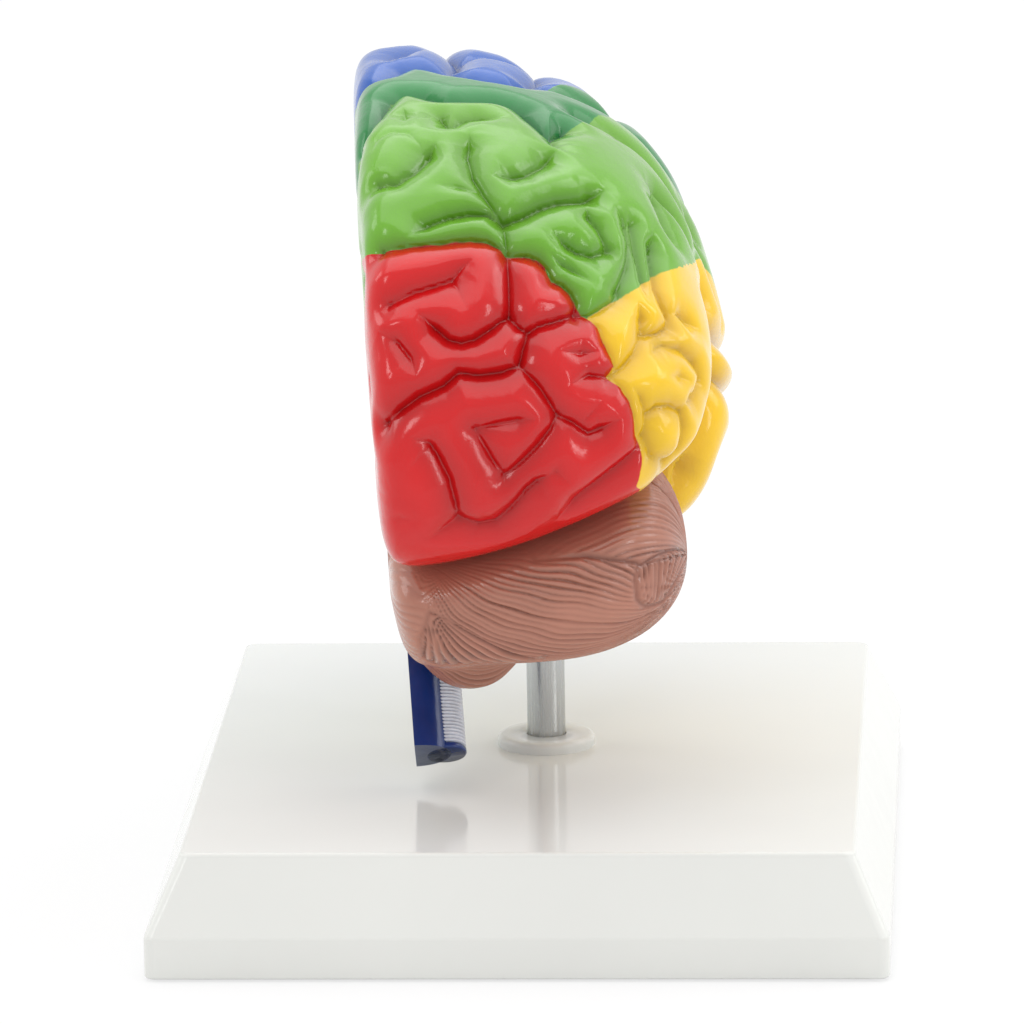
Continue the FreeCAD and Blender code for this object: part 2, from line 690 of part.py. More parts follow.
def sketch_on(body, name, role, level=None):
    """Sketch on one of the body's own origin planes, lifted to a level where one is given."""
    sketch = body.newObject("Sketcher::SketchObject", name)
    plane = next(item for item in body.Origin.OriginFeatures if item.Role == role)
    sketch.AttachmentSupport = [(plane, "")]
    sketch.MapMode = "FlatFace"
    if level:
        sketch.setExpression("AttachmentOffset.Base.z", level)
    return sketch


def outline(sketch, corners):
    """Closed outline whose corners are bound to expressions for their two places."""
    count = len(corners)
    spots = [Vector(10 * math.cos(2 * math.pi * n / count), 10 * math.sin(2 * math.pi * n / count), 0)
             for n in range(count)]
    first = sketch.GeometryCount
    for number in range(count):
        sketch.addGeometry(Part.LineSegment(spots[number], spots[(number + 1) % count]), False)
    for number in range(count):
        following = first + (number + 1) % count
        sketch.addConstraint(Sketcher.Constraint("Coincident", first + number, 2, following, 1))
    for number, (across, up) in enumerate(corners):
        for kind, axis, place in (("DistanceX", -2, across), ("DistanceY", -1, up)):
            if place == "0":
                sketch.addConstraint(Sketcher.Constraint("PointOnObject", first + number, 1, axis))
            else:
                index = sketch.addConstraint(Sketcher.Constraint(kind, -1, 1, first + number, 1, 5.0 + number))
                sketch.setExpression("Constraints[%d]" % index, place)


def circle(sketch, radius, across=None, up=None):
    geometry = sketch.addGeometry(Part.Circle(Vector(1, 1, 0), Vector(0, 0, 1), 3.0), False)
    index = sketch.addConstraint(Sketcher.Constraint("Radius", geometry, 3.0))
    sketch.setExpression("Constraints[%d]" % index, radius)
    if across is None:
        sketch.addConstraint(Sketcher.Constraint("Coincident", geometry, 3, -1, 1))
        return
    for kind, axis, place in (("DistanceX", -2, across), ("DistanceY", -1, up)):
        if place == "0":
            sketch.addConstraint(Sketcher.Constraint("PointOnObject", geometry, 3, axis))
        else:
            index = sketch.addConstraint(Sketcher.Constraint(kind, -1, 1, geometry, 3, 2.0))
            sketch.setExpression("Constraints[%d]" % index, place)


def rectangle(sketch, half_width, half_depth):
    outline(sketch, [("-(%s)" % half_width, "-(%s)" % half_depth), (half_width, "-(%s)" % half_depth),
                     (half_width, half_depth), ("-(%s)" % half_width, half_depth)])


def square(sketch, half, across, up):
    """Square about a centre whose two places are given as expressions."""
    left, right, low, high = across + " - " + half, across + " + " + half, up + " - " + half, up + " + " + half
    outline(sketch, [(left, low), (right, low), (right, high), (left, high)])


def turned(name, corners):
    """Body turned about the post's axis from a half profile: radius and height of each corner."""
    body = body_named(name)
    body.setExpression("Placement.Base.x", size("post_across"))
    sketch = sketch_on(body, name + "_profile", "XZ_Plane")
    outline(sketch, corners)
    feature = body.newObject("PartDesign::Revolution", name + "_turned")
    feature.Profile = sketch
    feature.ReferenceAxis = (sketch, ["V_Axis"])
    feature.Angle = 360
    body.Tip = feature
    sketch.Visibility = False
    return body, feature


def pad(body, sketch, name, length, reverse=False):
    feature = body.newObject("PartDesign::Pad", name)
    feature.Profile = sketch
    feature.Reversed = reverse
    feature.setExpression("Length", length)
    sketch.Visibility = False
    body.Tip = feature
    return feature


def pocket(body, sketch, name, length, reverse=False):
    feature = body.newObject("PartDesign::Pocket", name)
    feature.Profile = sketch
    feature.Reversed = reverse
    feature.setExpression("Length", length)
    sketch.Visibility = False
    body.Tip = feature
    return feature


def fillet(body, name, base, radius, chosen):
    """Rounds the edges of the base feature that the test chooses."""
    doc.recompute()
    names = ["Edge%d" % (n + 1) for n, edge in enumerate(base.Shape.Edges) if chosen(edge)]
    feature = body.newObject("PartDesign::Fillet", name)
    feature.Base = (base, names)
    feature.setExpression("Radius", radius)
    body.Tip = feature
    return feature


def bevel(body, name, base, length, chosen):
    """Cuts a flat bevel along the edges of the base feature that the test chooses."""
    doc.recompute()
    names = ["Edge%d" % (n + 1) for n, edge in enumerate(base.Shape.Edges) if chosen(edge)]
    feature = body.newObject("PartDesign::Chamfer", name)
    feature.Base = (base, names)
    feature.setExpression("Size", length)
    body.Tip = feature
    return feature


def make_stand_base():
    """Moulded white stand: a low plinth and sloping sides, open underneath, with ribs and a boss."""
    body = body_named("stand_base")
    floor, fold, top = size("foot_drop"), "sizes.foot_drop + sizes.plinth_height", size("base_top")
    low_width = "sizes.base_width / 2 + sizes.base_outset"
    low_depth = "sizes.base_depth / 2 + sizes.base_outset"
    rise = "sizes.base_top - sizes.foot_drop - sizes.plinth_height"
    lean = "atan(sizes.base_outset / (%s))" % rise
    foot_plan = sketch_on(body, "plinth_plan", "XY_Plane", floor)
    rectangle(foot_plan, low_width, low_depth)
    pad(body, foot_plan, "plinth", size("plinth_height"))
    fold_plan = sketch_on(body, "fold_plan", "XY_Plane", fold)
    rectangle(fold_plan, low_width, low_depth)
    slope = pad(body, fold_plan, "sloping_sides", rise)
    slope.setExpression("TaperAngle", "-" + lean)
    corners = fillet(body, "corner_rounds", slope, size("corner_round"), is_corner_edge)
    bevel(body, "rim_bevel", corners, size("rim_bevel"), is_rim_edge)
    inner_plan = sketch_on(body, "inner_plan", "XY_Plane", floor)
    rectangle(inner_plan, low_width + " - sizes.shell_wall", low_depth + " - sizes.shell_wall")
    pocket(body, inner_plan, "plinth_hollow", size("plinth_height"), True)
    inner_fold = sketch_on(body, "inner_fold", "XY_Plane", fold)
    rectangle(inner_fold, low_width + " - sizes.shell_wall", low_depth + " - sizes.shell_wall")
    hollow = pocket(body, inner_fold, "slope_hollow", rise + " - sizes.shell_wall", True)
    hollow.setExpression("TaperAngle", "-" + lean)
    under = top + " - sizes.shell_wall"
    for name, half_width, half_depth in (
            ("cross_rib", "sizes.base_width / 2 - sizes.shell_wall / 2", "sizes.rib_wall / 2"),
            ("long_rib", "sizes.rib_wall / 2", "sizes.base_depth / 2 - sizes.shell_wall / 2")):
        plan = sketch_on(body, name + "_plan", "XY_Plane", "sizes.base_top - sizes.shell_wall / 2")
        rectangle(plan, half_width, half_depth)
        pad(body, plan, name, "sizes.rib_height", True)
    boss_plan = sketch_on(body, "boss_plan", "XY_Plane", size("boss_clear"))
    circle(boss_plan, "sizes.boss_diameter / 2", size("post_across"), "0")
    pad(body, boss_plan, "boss", under + " - sizes.boss_clear + sizes.shell_wall / 2")
    for number, (across, up) in enumerate(FOOT_SIGNS):
        plan = sketch_on(body, "pad_plan_%d" % number, "XY_Plane", size("foot_height"))
        square(plan, "sizes.pad_side / 2", foot_place("width", across), foot_place("depth", up))
        pad(body, plan, "foot_pad_%d" % number, under + " - sizes.foot_height + sizes.shell_wall / 2")
    seat_plan = sketch_on(body, "seat_plan", "XY_Plane", top)
    circle(seat_plan, "sizes.post_diameter / 2 + sizes.fit_clearance", size("post_across"), "0")
    pocket(body, seat_plan, "post_seat", size("post_seat"))
    screw_plan = sketch_on(body, "screw_plan", "XY_Plane", size("boss_clear"))
    circle(screw_plan, "sizes.screw_diameter / 2 + sizes.fit_clearance", size("post_across"), "0")
    pocket(body, screw_plan, "screw_way", "sizes.base_top - sizes.boss_clear - sizes.post_seat / 2", True)
    return body


def foot_place(side, sign):
    place = "(sizes.base_%s / 2 + sizes.base_outset - sizes.pad_inset)" % side
    return place if sign > 0 else "-" + place


def is_corner_edge(edge):
    """Edges that run down the four corners of the stand."""
    start, end = edge.Vertexes[0].Point, edge.Vertexes[-1].Point
    return abs(end.z - start.z) > 1.0


def is_rim_edge(edge):
    """Edges of the top face of the stand."""
    return all(abs(vertex.Point.z - given["base_top"]) < 1e-4 for vertex in edge.Vertexes)


def make_foot(name, sign_across, sign_up):
    """Soft foot stuck under one corner pad."""
    body = body_named(name)
    plan = sketch_on(body, name + "_plan", "XY_Plane")
    circle(plan, "sizes.foot_diameter / 2", foot_place("width", sign_across), foot_place("depth", sign_up))
    pad(body, plan, name + "_disc", size("foot_height"))
    return body


def make_post():
    """Bright metal post, chamfered at its top, with a blind hole for the screw."""
    radius, hole = "sizes.post_diameter / 2", "sizes.screw_diameter / 2 + sizes.fit_clearance"
    seat = "sizes.base_top - sizes.post_seat"
    top = "sizes.base_top + sizes.post_stand + sizes.socket_depth"
    depth = "sizes.boss_clear - sizes.washer_height + sizes.screw_length + 1"
    body, _ = turned("post", [
        (hole, seat), (radius, seat), (radius, top + " - sizes.post_chamfer"),
        (radius + " - sizes.post_chamfer", top), ("0", top), ("0", depth), (hole, depth)])
    return body


def make_collar():
    """White bevelled collar that hides the foot of the post."""
    bore = "sizes.post_diameter / 2 + sizes.fit_clearance"
    top = "sizes.base_top + sizes.collar_height"
    outer = "sizes.collar_diameter / 2"
    body, _ = turned("post_collar", [
        (bore, size("base_top")), (outer, size("base_top")), (outer, top + " - sizes.collar_bevel"),
        (outer + " - sizes.collar_bevel", top), (bore, top)])
    return body


def make_screw():
    """Flat-headed screw that draws the post down into the boss from below."""
    radius, head = "sizes.screw_diameter / 2", "sizes.screw_head / 2"
    face = "sizes.boss_clear - sizes.washer_height"
    low = face + " - sizes.screw_head_height"
    body, _ = turned("post_screw", [
        ("0", low), (head, low), (head, face), (radius, face), (radius, face + " + sizes.screw_length"),
        ("0", face + " + sizes.screw_length")])
    slot_plan = sketch_on(body, "slot_plan", "XY_Plane", low)
    rectangle(slot_plan, head + " + 1", "sizes.screw_slot / 2")
    pocket(body, slot_plan, "driver_slot", "sizes.screw_head_height / 2", True)
    return body


def make_washer():
    inner, outer = "sizes.screw_diameter / 2 + sizes.fit_clearance * 4", "sizes.washer_diameter / 2"
    low = "sizes.boss_clear - sizes.washer_height"
    body, _ = turned("post_washer", [(inner, low), (outer, low), (outer, size("boss_clear")),
                                     (inner, size("boss_clear"))])
    return body


def make_bush():
    """Cup set into the underside of the brain, which drops over the post."""
    bore, outer = "sizes.post_diameter / 2 + sizes.fit_clearance", "sizes.bush_diameter / 2"
    mouth = "sizes.base_top + sizes.post_stand"
    stop = mouth + " + sizes.socket_depth + sizes.fit_clearance"
    body, _ = turned("socket_bush", [
        (bore, mouth), (outer, mouth), (outer, stop + " + sizes.bush_cap"),
        ("0", stop + " + sizes.bush_cap"), ("0", stop), (bore, stop)])
    return body


def placed_feature(name, shape):
    feature = doc.addObject("Part::Feature", name)
    feature.Label = name
    feature.Shape = shape
    feature.Placement = brain_placement()
    return feature


def make_cerebrum():
    """The folded casting of the right half, cut flat along the middle, with the socket bored in."""
    plain, triangles, near = even_skin(cerebrum_field, CEREBRUM_HEART, CEREBRUM_STRETCH, CEREBRUM_STEPS)
    grooves = laid_grooves(cerebrum_field)
    snapped = snap_to_grooves(plain, near, grooves)
    snapped = untangled(CEREBRUM_HEART, snapped, plain, triangles)
    carved = carved_points(cerebrum_field, CEREBRUM_HEART, snapped, grooves)
    solid = faceted_solid(carved, triangles)
    depth = given["socket_depth"] + 2 * given["fit_clearance"] + given["bush_cap"]
    mouth = given["base_top"] + given["post_stand"]
    hole = Part.makeCylinder(given["bush_diameter"] / 2 + given["fit_clearance"], depth + MOUTH_CLEAR,
                             Vector(given["post_across"], 0, mouth - MOUTH_CLEAR))
    hole = hole.transformed(brain_placement().inverse().toMatrix())
    return placed_feature("cerebrum", solid.cut(hole))


def make_cerebellum():
    points, triangles, _ = even_skin(cerebellum_field, CEREBELLUM_HEART, CEREBELLUM_STRETCH,
                                     CEREBELLUM_STEPS)
    exact = []
    for point in points:
        direction = (point - CEREBELLUM_HEART).normalize()
        exact.append(CEREBELLUM_HEART
                     + direction * skin_distance(cerebellum_field, CEREBELLUM_HEART, direction))
    return placed_feature("cerebellum", faceted_solid(exact, triangles))


# Sections of the brain stem from its cut end up: forward, height, lean, half width, half thickness
STEM_SECTIONS = [
    (-36.0, 8.9, 35.0, 7.4, 6.4),
    (-26.0, 22.6, 35.0, 7.6, 6.6),
    (-15.5, 36.0, 33.0, 10.5, 8.5),
    (-9.0, 46.5, 22.0, 13.0, 11.0),
    (-7.0, 59.0, 6.0, 10.5, 10.5),
    (-6.5, given["stem_top"], 0.0, 7.5, 9.5),
]
STEM_SIDES = 12
STEM_SPACING = 5.0
# The stem's own middle face stands this far outward of the cerebrum's
STEM_INSET = 3.2

# Ridged strip of nerve roots beside the lower stem, which narrows to a rounded upper end
ROOT_RIDGES = 8
ROOT_SIDES = 12
ROOT_LENGTH = 15.5
ROOT_OUTWARD = 6.4
ROOT_FORWARD = 1.0
ROOT_HALF_WIDTH = 4.2
ROOT_HALF_THICKNESS = 4.6
ROOT_VALLEY = 0.90
ROOT_TAPER_START = 0.72
ROOT_TIP = 0.25


def stem_frame(forward, height, lean):
    """Section plane square to the stem, on the middle plane of the brain."""
    return FreeCAD.Placement(Vector(STEM_INSET - given["medial_offset"], forward, height),
                             FreeCAD.Rotation(Vector(1, 0, 0), -lean))


def stem_ring(forward, height, lean, half_width, half_thickness):
    """Half oval round the stem, with its flat side on the middle plane."""
    place = stem_frame(forward, height, lean)
    ring = []
    for side in range(STEM_SIDES + 1):
        angle = math.pi * (side / STEM_SIDES - 0.5)
        ring.append(place.multVec(Vector(half_width * math.cos(angle), half_thickness * math.sin(angle), 0)))
    return ring


def root_ring(place, number):
    """Oval round the strip of roots: full on a ridge, smaller in a valley, narrow near its upper end."""
    run = number / (2 * ROOT_RIDGES)
    share = 1.0 if number % 2 == 0 else ROOT_VALLEY
    taper = max(0.0, (run - ROOT_TAPER_START) / (1.0 - ROOT_TAPER_START))
    shoulder = math.sqrt(max(ROOT_TIP ** 2, 1.0 - taper ** 2))
    ring = []
    for side in range(ROOT_SIDES):
        angle = 2 * math.pi * side / ROOT_SIDES
        across = shoulder * (ROOT_OUTWARD + ROOT_HALF_WIDTH * share * math.cos(angle))
        forward = ROOT_FORWARD + ROOT_HALF_THICKNESS * share * math.sin(angle)
        ring.append(place.multVec(Vector(across, forward, ROOT_LENGTH * run)))
    return ring


def stacked_solid(rings):
    """Flat-sided solid through rings of equally many corners, closed at both ends."""
    count = len(rings[0])
    points = [corner for ring in rings for corner in ring]
    triangles = []
    for low in range(0, len(points) - count, count):
        for number in range(count):
            after = (number + 1) % count
            triangles.append((low + number, low + after, low + count + after))
            triangles.append((low + number, low + count + after, low + count + number))
    last = len(points) - count
    for number in range(1, count - 1):
        triangles.append((0, number + 1, number))
        triangles.append((last, last + number, last + number + 1))
    return faceted_solid(points, triangles)


def make_brain_stem():
    """Half brain stem with its flat cut end, and the ridged strip of nerve roots."""
    stem = stacked_solid([stem_ring(*section) for section in smooth_curve(STEM_SECTIONS, STEM_SPACING)])
    place = stem_frame(*STEM_SECTIONS[0][:3])
    roots = stacked_solid([root_ring(place, number) for number in range(2 * ROOT_RIDGES + 1)])
    return placed_feature("brain_stem", stem.fuse(roots).removeSplitter())


def build_all():
    pieces = [make_stand_base(), make_post(), make_collar(), make_screw(), make_washer()]
    names = ["foot_rear_inner", "foot_rear_outer", "foot_front_inner", "foot_front_outer"]
    for name, (across, up) in zip(names, FOOT_SIGNS):
        pieces.append(make_foot(name, across, up))
    pieces.append(make_bush())
    pieces += [make_cerebrum(), make_cerebellum(), make_brain_stem()]
    return pieces


def check_and_write(pieces):
    """Refuses to write anything while an object is failed or a piece is empty or broken."""
    doc.recompute()
    for item in doc.Objects:
        if "Invalid" in item.State or "Error" in item.State:
            raise RuntimeError("failed object: " + item.Name)
    for piece in pieces:
        shape = piece.Shape
        if shape.isNull() or not shape.isValid() or len(shape.Solids) != 1:
            raise RuntimeError("bad piece: " + piece.Label)
    for piece in pieces:
        piece.Shape.exportStep("parts/%s.step" % piece.Label)
        box = piece.Shape.BoundBox
        print("%-18s faces %5d volume %9.0f z %.1f to %.1f" % (
            piece.Label, len(piece.Shape.Faces), piece.Shape.Volume, box.ZMin, box.ZMax))


os.makedirs("parts", exist_ok=True)
check_and_write(build_all())
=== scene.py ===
"""Painted half brain on a post and a white stand: the finish of every surface."""
import math

import bmesh
import bpy
import numpy as np
from mathutils import Matrix, Vector


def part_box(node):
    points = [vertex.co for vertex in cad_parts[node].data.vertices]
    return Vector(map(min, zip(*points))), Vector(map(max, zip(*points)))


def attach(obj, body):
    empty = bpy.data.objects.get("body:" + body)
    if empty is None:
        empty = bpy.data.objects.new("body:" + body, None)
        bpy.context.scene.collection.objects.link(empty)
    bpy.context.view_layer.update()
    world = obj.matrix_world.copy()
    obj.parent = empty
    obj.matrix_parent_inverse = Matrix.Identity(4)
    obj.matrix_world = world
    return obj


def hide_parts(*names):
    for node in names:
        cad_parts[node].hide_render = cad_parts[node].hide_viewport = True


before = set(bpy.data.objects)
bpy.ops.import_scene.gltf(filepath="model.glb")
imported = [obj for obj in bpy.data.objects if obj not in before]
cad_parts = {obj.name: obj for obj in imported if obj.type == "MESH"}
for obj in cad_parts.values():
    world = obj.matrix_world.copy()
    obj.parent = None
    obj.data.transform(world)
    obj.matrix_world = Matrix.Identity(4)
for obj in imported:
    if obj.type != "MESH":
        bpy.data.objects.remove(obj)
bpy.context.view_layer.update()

bl_info = {
    "name": "Brain anatomy model",
    "version": (1, 0, 0),
    "blender": (4, 5, 0),
    "location": "View3D > Sidebar > Brain model",
    "description": "Painted half brain on a metal post and a white stand",
    "category": "Object",
}

MM = 0.001
STAND_LOW, STAND_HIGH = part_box("stand_base")
POST_LOW, POST_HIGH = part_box("post")
COLLAR_LOW, COLLAR_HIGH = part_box("post_collar")
BUSH_LOW, BUSH_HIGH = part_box("socket_bush")
FOOT_NODES = ("foot_rear_inner", "foot_rear_outer", "foot_front_inner", "foot_front_outer")
POST_X = (POST_LOW.x + POST_HIGH.x) / 2
POST_RADIUS = (POST_HIGH.x - POST_LOW.x) / 2
ROUND_SIDES = 96
CLEARANCE = 0.00005
POST_HOLE = 0.00205
BOSS_HOLE = 0.0021
INNER_CORNER = 0.001

# Casting, millimetres. Each lobe: centre, half width, lengths ahead and behind, heights up and down, fullness
CEREBRUM_LOBES = [
    ((-28.5, 8.0, 80.0), 72.5, (76.0, 90.0), (63.5, 24.0), 2.6),
    ((-18.0, -50.0, 76.0), 42.0, (36.0, 31.0), (34.0, 27.0), 2.4),
    ((13.0, 0.0, 68.0), 27.5, (52.0, 50.0), (24.0, 23.0), 2.5),
    ((-20.0, 46.0, 90.0), 36.0, (34.0, 34.0), (44.5, 30.0), 2.3),
    ((21.0, -42.0, 81.0), 16.0, (20.0, 27.0), (18.0, 21.0), 2.2),
]
CEREBELLUM_LOBES = [
    ((3.0, -46.0, 52.0), 30.5, (30.0, 31.0), (26.0, 20.5), 2.3),
    ((-20.0, -44.0, 52.0), 13.0, (30.0, 28.0), (26.0, 19.5), 2.3),
    ((-12.0, -36.0, 38.0), 11.0, (12.0, 13.0), (14.0, 15.0), 2.2),
]
CEREBRUM_HEART = np.array([-3.0, -6.0, 94.0])
CEREBELLUM_HEART = np.array([-10.0, -46.0, 48.0])
CEREBRUM_STRETCH = np.array([0.45, 1.0, 0.62])
CEREBRUM_BLEND = 4.0
CEREBELLUM_BLEND = 2.5
EDGE_BLEND = 2.0
LOWER_EDGE_BLEND = 4.5
MEDIAL_EDGE_BLEND = 2.5
NOTCH_BLEND = 1.5
MEDIAL_OFFSET = 28.5
GLUE_GAP = 0.08
CEREBELLUM_INSET = 0.8
CEREBELLUM_INNER_LEAN = 0.10
ROOF_POINT = (-14.0, -75.0, 54.0)
ROOF_SLOPES = (0.40, 0.20)
WALL_POINT = (-10.0, -33.0, 21.0)
WALL_SLOPES = (0.35, -0.20)
STEM_TOP = 71.9
STEM_ROOM_SIDE = -8.0
STEM_ROOM_LEVEL = 48.0
STEM_ROOM_LEAN = 0.25
STEM_ROOM_MIDDLE = -8.0
STEM_ROOM_HALF = 15.0

# The eye of the reference picture: lens and distance in picture pixels and millimetres
EYE_FOCAL = 9179.0
EYE_DISTANCE = 1919.0
EYE_ELEVATION = 13.5
EYE_YAW = 3.25
EYE_ROLL = -0.96
EYE_TARGET = np.array([-4.5, 0.0, 75.0])
PICTURE_CENTRE = 512.0
PICTURE_WIDTH = 1024.0
SENSOR_WIDTH = 36.0

# Share of the bright background in reflections, and of the floor's own glow before the camera
MIRRORED_SHARE = 0.5
FLOOR_GLOW = 0.72
FLOOR_REACH = 6.0

# Grooves seen from behind, in picture pixels: start fades, end fades, depth share, points
REAR_GROOVES = [
    (0, 0, 1.0, [(352, 157), (360, 138), (369, 116), (385, 92), (398, 88), (419, 88), (441, 94),
                 (463, 94), (493, 95), (524, 104), (539, 117), (552, 128), (567, 122), (594, 118)]),
    (0, 0, 0.9, [(350, 101), (361, 87), (378, 74), (398, 63), (419, 62), (439, 64), (459, 70),
                 (487, 75), (515, 80), (545, 80)]),
    (1, 1, 0.7, [(402, 108), (402, 117)]),
    (1, 0, 0.9, [(447, 119), (434, 140), (422, 153), (409, 166), (391, 178), (374, 181), (354, 168)]),
    (1, 1, 0.5, [(372, 166), (396, 166)]),
    (0, 1, 0.8, [(434, 96), (439, 110), (447, 119), (459, 113), (474, 111), (500, 114)]),
    (1, 0, 0.8, [(469, 131), (466, 149), (472, 172), (483, 190), (495, 207), (504, 219)]),
    (1, 0, 0.5, [(436, 183), (458, 184), (480, 188)]),
    (1, 0, 1.0, [(404, 235), (422, 222), (445, 213), (467, 209), (487, 209), (504, 219)]),
    (1, 1, 0.9, [(493, 172), (507, 172), (526, 168), (544, 158), (558, 147)]),
    (0, 1, 0.7, [(552, 128), (557, 140), (568, 148)]),
    (0, 1, 1.1, [(504, 219), (524, 212), (543, 202), (561, 196), (589, 194), (607, 188),
                 (619, 176), (622, 160)]),
    (0, 0, 0.8, [(504, 219), (506, 235), (508, 253)]),
    (1, 0, 0.9, [(554, 230), (567, 241), (581, 250), (598, 254), (614, 248)]),
    (1, 0, 0.8, [(589, 198), (593, 214), (604, 226), (614, 248)]),
    (1, 1, 0.7, [(548, 250), (563, 262), (580, 272), (594, 282)]),
    (1, 1, 0.7, [(636, 195), (638, 222)]),
    (1, 1, 0.8, [(655, 187), (662, 204), (672, 228), (684, 250)]),
    (1, 0, 0.8, [(619, 206), (631, 222), (637, 243), (633, 267), (622, 294)]),
    (0, 1, 0.8, [(638, 222), (643, 250), (650, 283), (652, 300)]),
    (1, 0, 0.9, [(657, 233), (659, 262), (664, 290), (676, 318), (679, 329), (667, 336), (649, 338)]),
    (0, 0, 0.8, [(579, 317), (594, 317), (617, 304), (626, 294)]),
    (0, 0, 0.9, [(357, 262), (378, 250), (397, 245), (436, 241), (469, 237), (487, 239), (501, 246),
                 (508, 254), (528, 254), (540, 258), (550, 268), (556, 281), (566, 285), (575, 294),
                 (580, 305), (579, 317)]),
    (0, 0, 0.8, [(361, 314), (386, 305), (409, 293), (432, 286), (450, 280)]),
    (0, 1, 0.6, [(450, 280), (460, 268), (472, 258)]),
    (0, 1, 0.5, [(450, 280), (458, 291), (464, 304)]),
    (0, 0, 0.9, [(508, 254), (510, 290), (510, 319)]),
    (0, 1, 1.0, [(510, 319), (501, 323), (489, 332), (473, 342), (459, 345), (446, 342), (432, 330),
                 (418, 314)]),
    (0, 0, 0.9, [(510, 319), (521, 330), (530, 335), (540, 328), (558, 323), (579, 317)]),
    (0, 0, 1.0, [(530, 335), (524, 355), (521, 369), (501, 376), (478, 379), (457, 376), (441, 390),
                 (416, 401), (397, 415), (371, 442)]),
    (0, 0, 0.8, [(521, 369), (540, 389), (553, 408), (560, 420)]),
    (0, 0, 0.8, [(560, 420), (553, 433), (540, 450), (524, 466), (505, 482)]),
    (0, 0, 0.7, [(505, 482), (491, 463), (475, 433)]),
    (0, 1, 0.7, [(475, 433), (500, 427), (540, 421)]),
    (1, 1, 0.6, [(562, 351), (583, 355), (606, 351)]),
    (1, 0, 0.7, [(572, 385), (592, 378), (615, 381)]),
    (0, 1, 0.8, [(560, 420), (576, 427), (592, 438), (606, 432), (622, 421)]),
    (1, 0, 0.4, [(604, 401), (588, 422)]),
    (1, 0, 0.8, [(411, 440), (427, 447), (438, 465), (448, 486), (454, 509), (457, 525)]),
    (0, 1, 0.8, [(457, 525), (478, 531), (496, 528), (512, 514), (528, 495), (542, 484), (557, 475)]),
    (0, 1, 0.5, [(557, 475), (572, 486)]),
    (0, 1, 0.6, [(457, 525), (441, 534), (429, 541)]),
    (1, 0, 0.7, [(560, 519), (581, 502), (604, 484), (629, 465), (643, 452)]),
    (1, 1, 0.7, [(377, 332), (395, 344), (409, 362), (416, 379)]),
    (1, 1, 0.3, [(393, 518), (416, 520)]),
    (1, 1, 0.3, [(386, 482), (392, 492)]),
    (0, 0, 0.6, [(592, 319), (602, 328), (607, 344), (615, 358), (619, 369), (615, 381)]),
    (0, 1, 0.6, [(615, 381), (625, 390), (634, 404), (639, 422), (641, 440), (646, 452), (646, 466)]),
    (1, 0, 0.8, [(641, 302), (648, 318), (649, 338), (640, 357), (627, 371), (615, 381)]),
    (1, 1, 0.7, [(676, 312), (689, 318), (703, 332), (712, 354), (714, 379)]),
    (1, 1, 0.8, [(651, 357), (671, 348), (689, 352), (703, 366), (707, 384), (701, 402), (688, 408)]),
    (1, 1, 0.5, [(671, 376), (685, 379), (697, 383)]),
    (1, 0, 0.7, [(634, 386), (645, 399), (652, 419), (648, 440)]),
    (0, 0, 0.8, [(648, 440), (656, 461), (671, 467), (683, 454), (690, 433), (688, 415), (676, 410),
                 (662, 411), (652, 419)]),
    (1, 1, 0.7, [(691, 436), (693, 456), (686, 477), (674, 491)]),
]

# Grooves of the outer side, forward and up, on the part that the rear view does not reach
SIDE_GROOVES = [
    (0, 1, 1.3, [(50, 60), (40, 66), (28, 71), (12, 77), (-4, 84), (-16, 91), (-25, 98)]),
    (0, 1, 0.8, [(28, 71), (32, 80), (33, 88)]),
    (0, 1, 0.8, [(40, 66), (46, 75), (48, 84)]),
    (0, 0, 1.0, [(-2, 134), (2, 124), (0, 114), (5, 103), (5, 94), (9, 86)]),
    (0, 0, 1.0, [(16, 137), (20, 126), (18, 115), (24, 104), (24, 94), (28, 84)]),
    (1, 1, 0.9, [(-18, 122), (-13, 113), (-13, 104), (-8, 96), (-6, 90)]),
    (0, 1, 0.9, [(20, 126), (33, 128), (46, 122), (60, 114), (72, 103)]),
    (0, 1, 0.9, [(24, 100), (37, 102), (48, 95), (60, 91), (71, 83)]),
    (1, 0, 0.7, [(38, 114), (49, 108), (60, 91)]),
    (1, 1, 0.7, [(34, 113), (36, 121)]),
    (0, 1, 0.7, [(48, 95), (52, 84), (60, 74)]),
    (1, 1, 0.7, [(60, 102), (68, 96), (76, 92)]),
    (1, 1, 0.7, [(68, 72), (76, 78), (80, 86)]),
    (1, 1, 0.7, [(9, 112), (11, 101)]),
    (1, 0, 1.0, [(54, 58), (41, 58), (27, 62), (12, 66), (-2, 71), (-14, 77), (-24, 86)]),
    (1, 1, 0.9, [(44, 49), (28, 52), (14, 55), (0, 57), (-13, 62)]),
    (0, 0, 0.6, [(27, 62), (22, 57), (21, 53)]),
    (0, 0, 0.6, [(-2, 71), (-4, 64), (-2, 57)]),
    (1, 1, 0.6, [(18, 70), (10, 72)]),
]

# Grooves of the crown ahead of the rear view, outward and forward
TOP_GROOVES = [
    (0, 1, 1.0, [(-7, 20), (-6, 33), (-9, 46), (-8, 58), (-12, 70)]),
    (1, 0, 0.8, [(-20, 26), (-18, 36), (-9, 46)]),
    (1, 1, 0.8, [(-21, 47), (-19, 58), (-22, 68)]),
    (0, 1, 0.9, [(9, 18), (12, 31), (10, 42), (12, 55), (6, 66)]),
    (0, 0, 0.7, [(-6, 33), (3, 36), (12, 31)]),
    (0, 1, 0.7, [(10, 42), (20, 44), (27, 40)]),
]

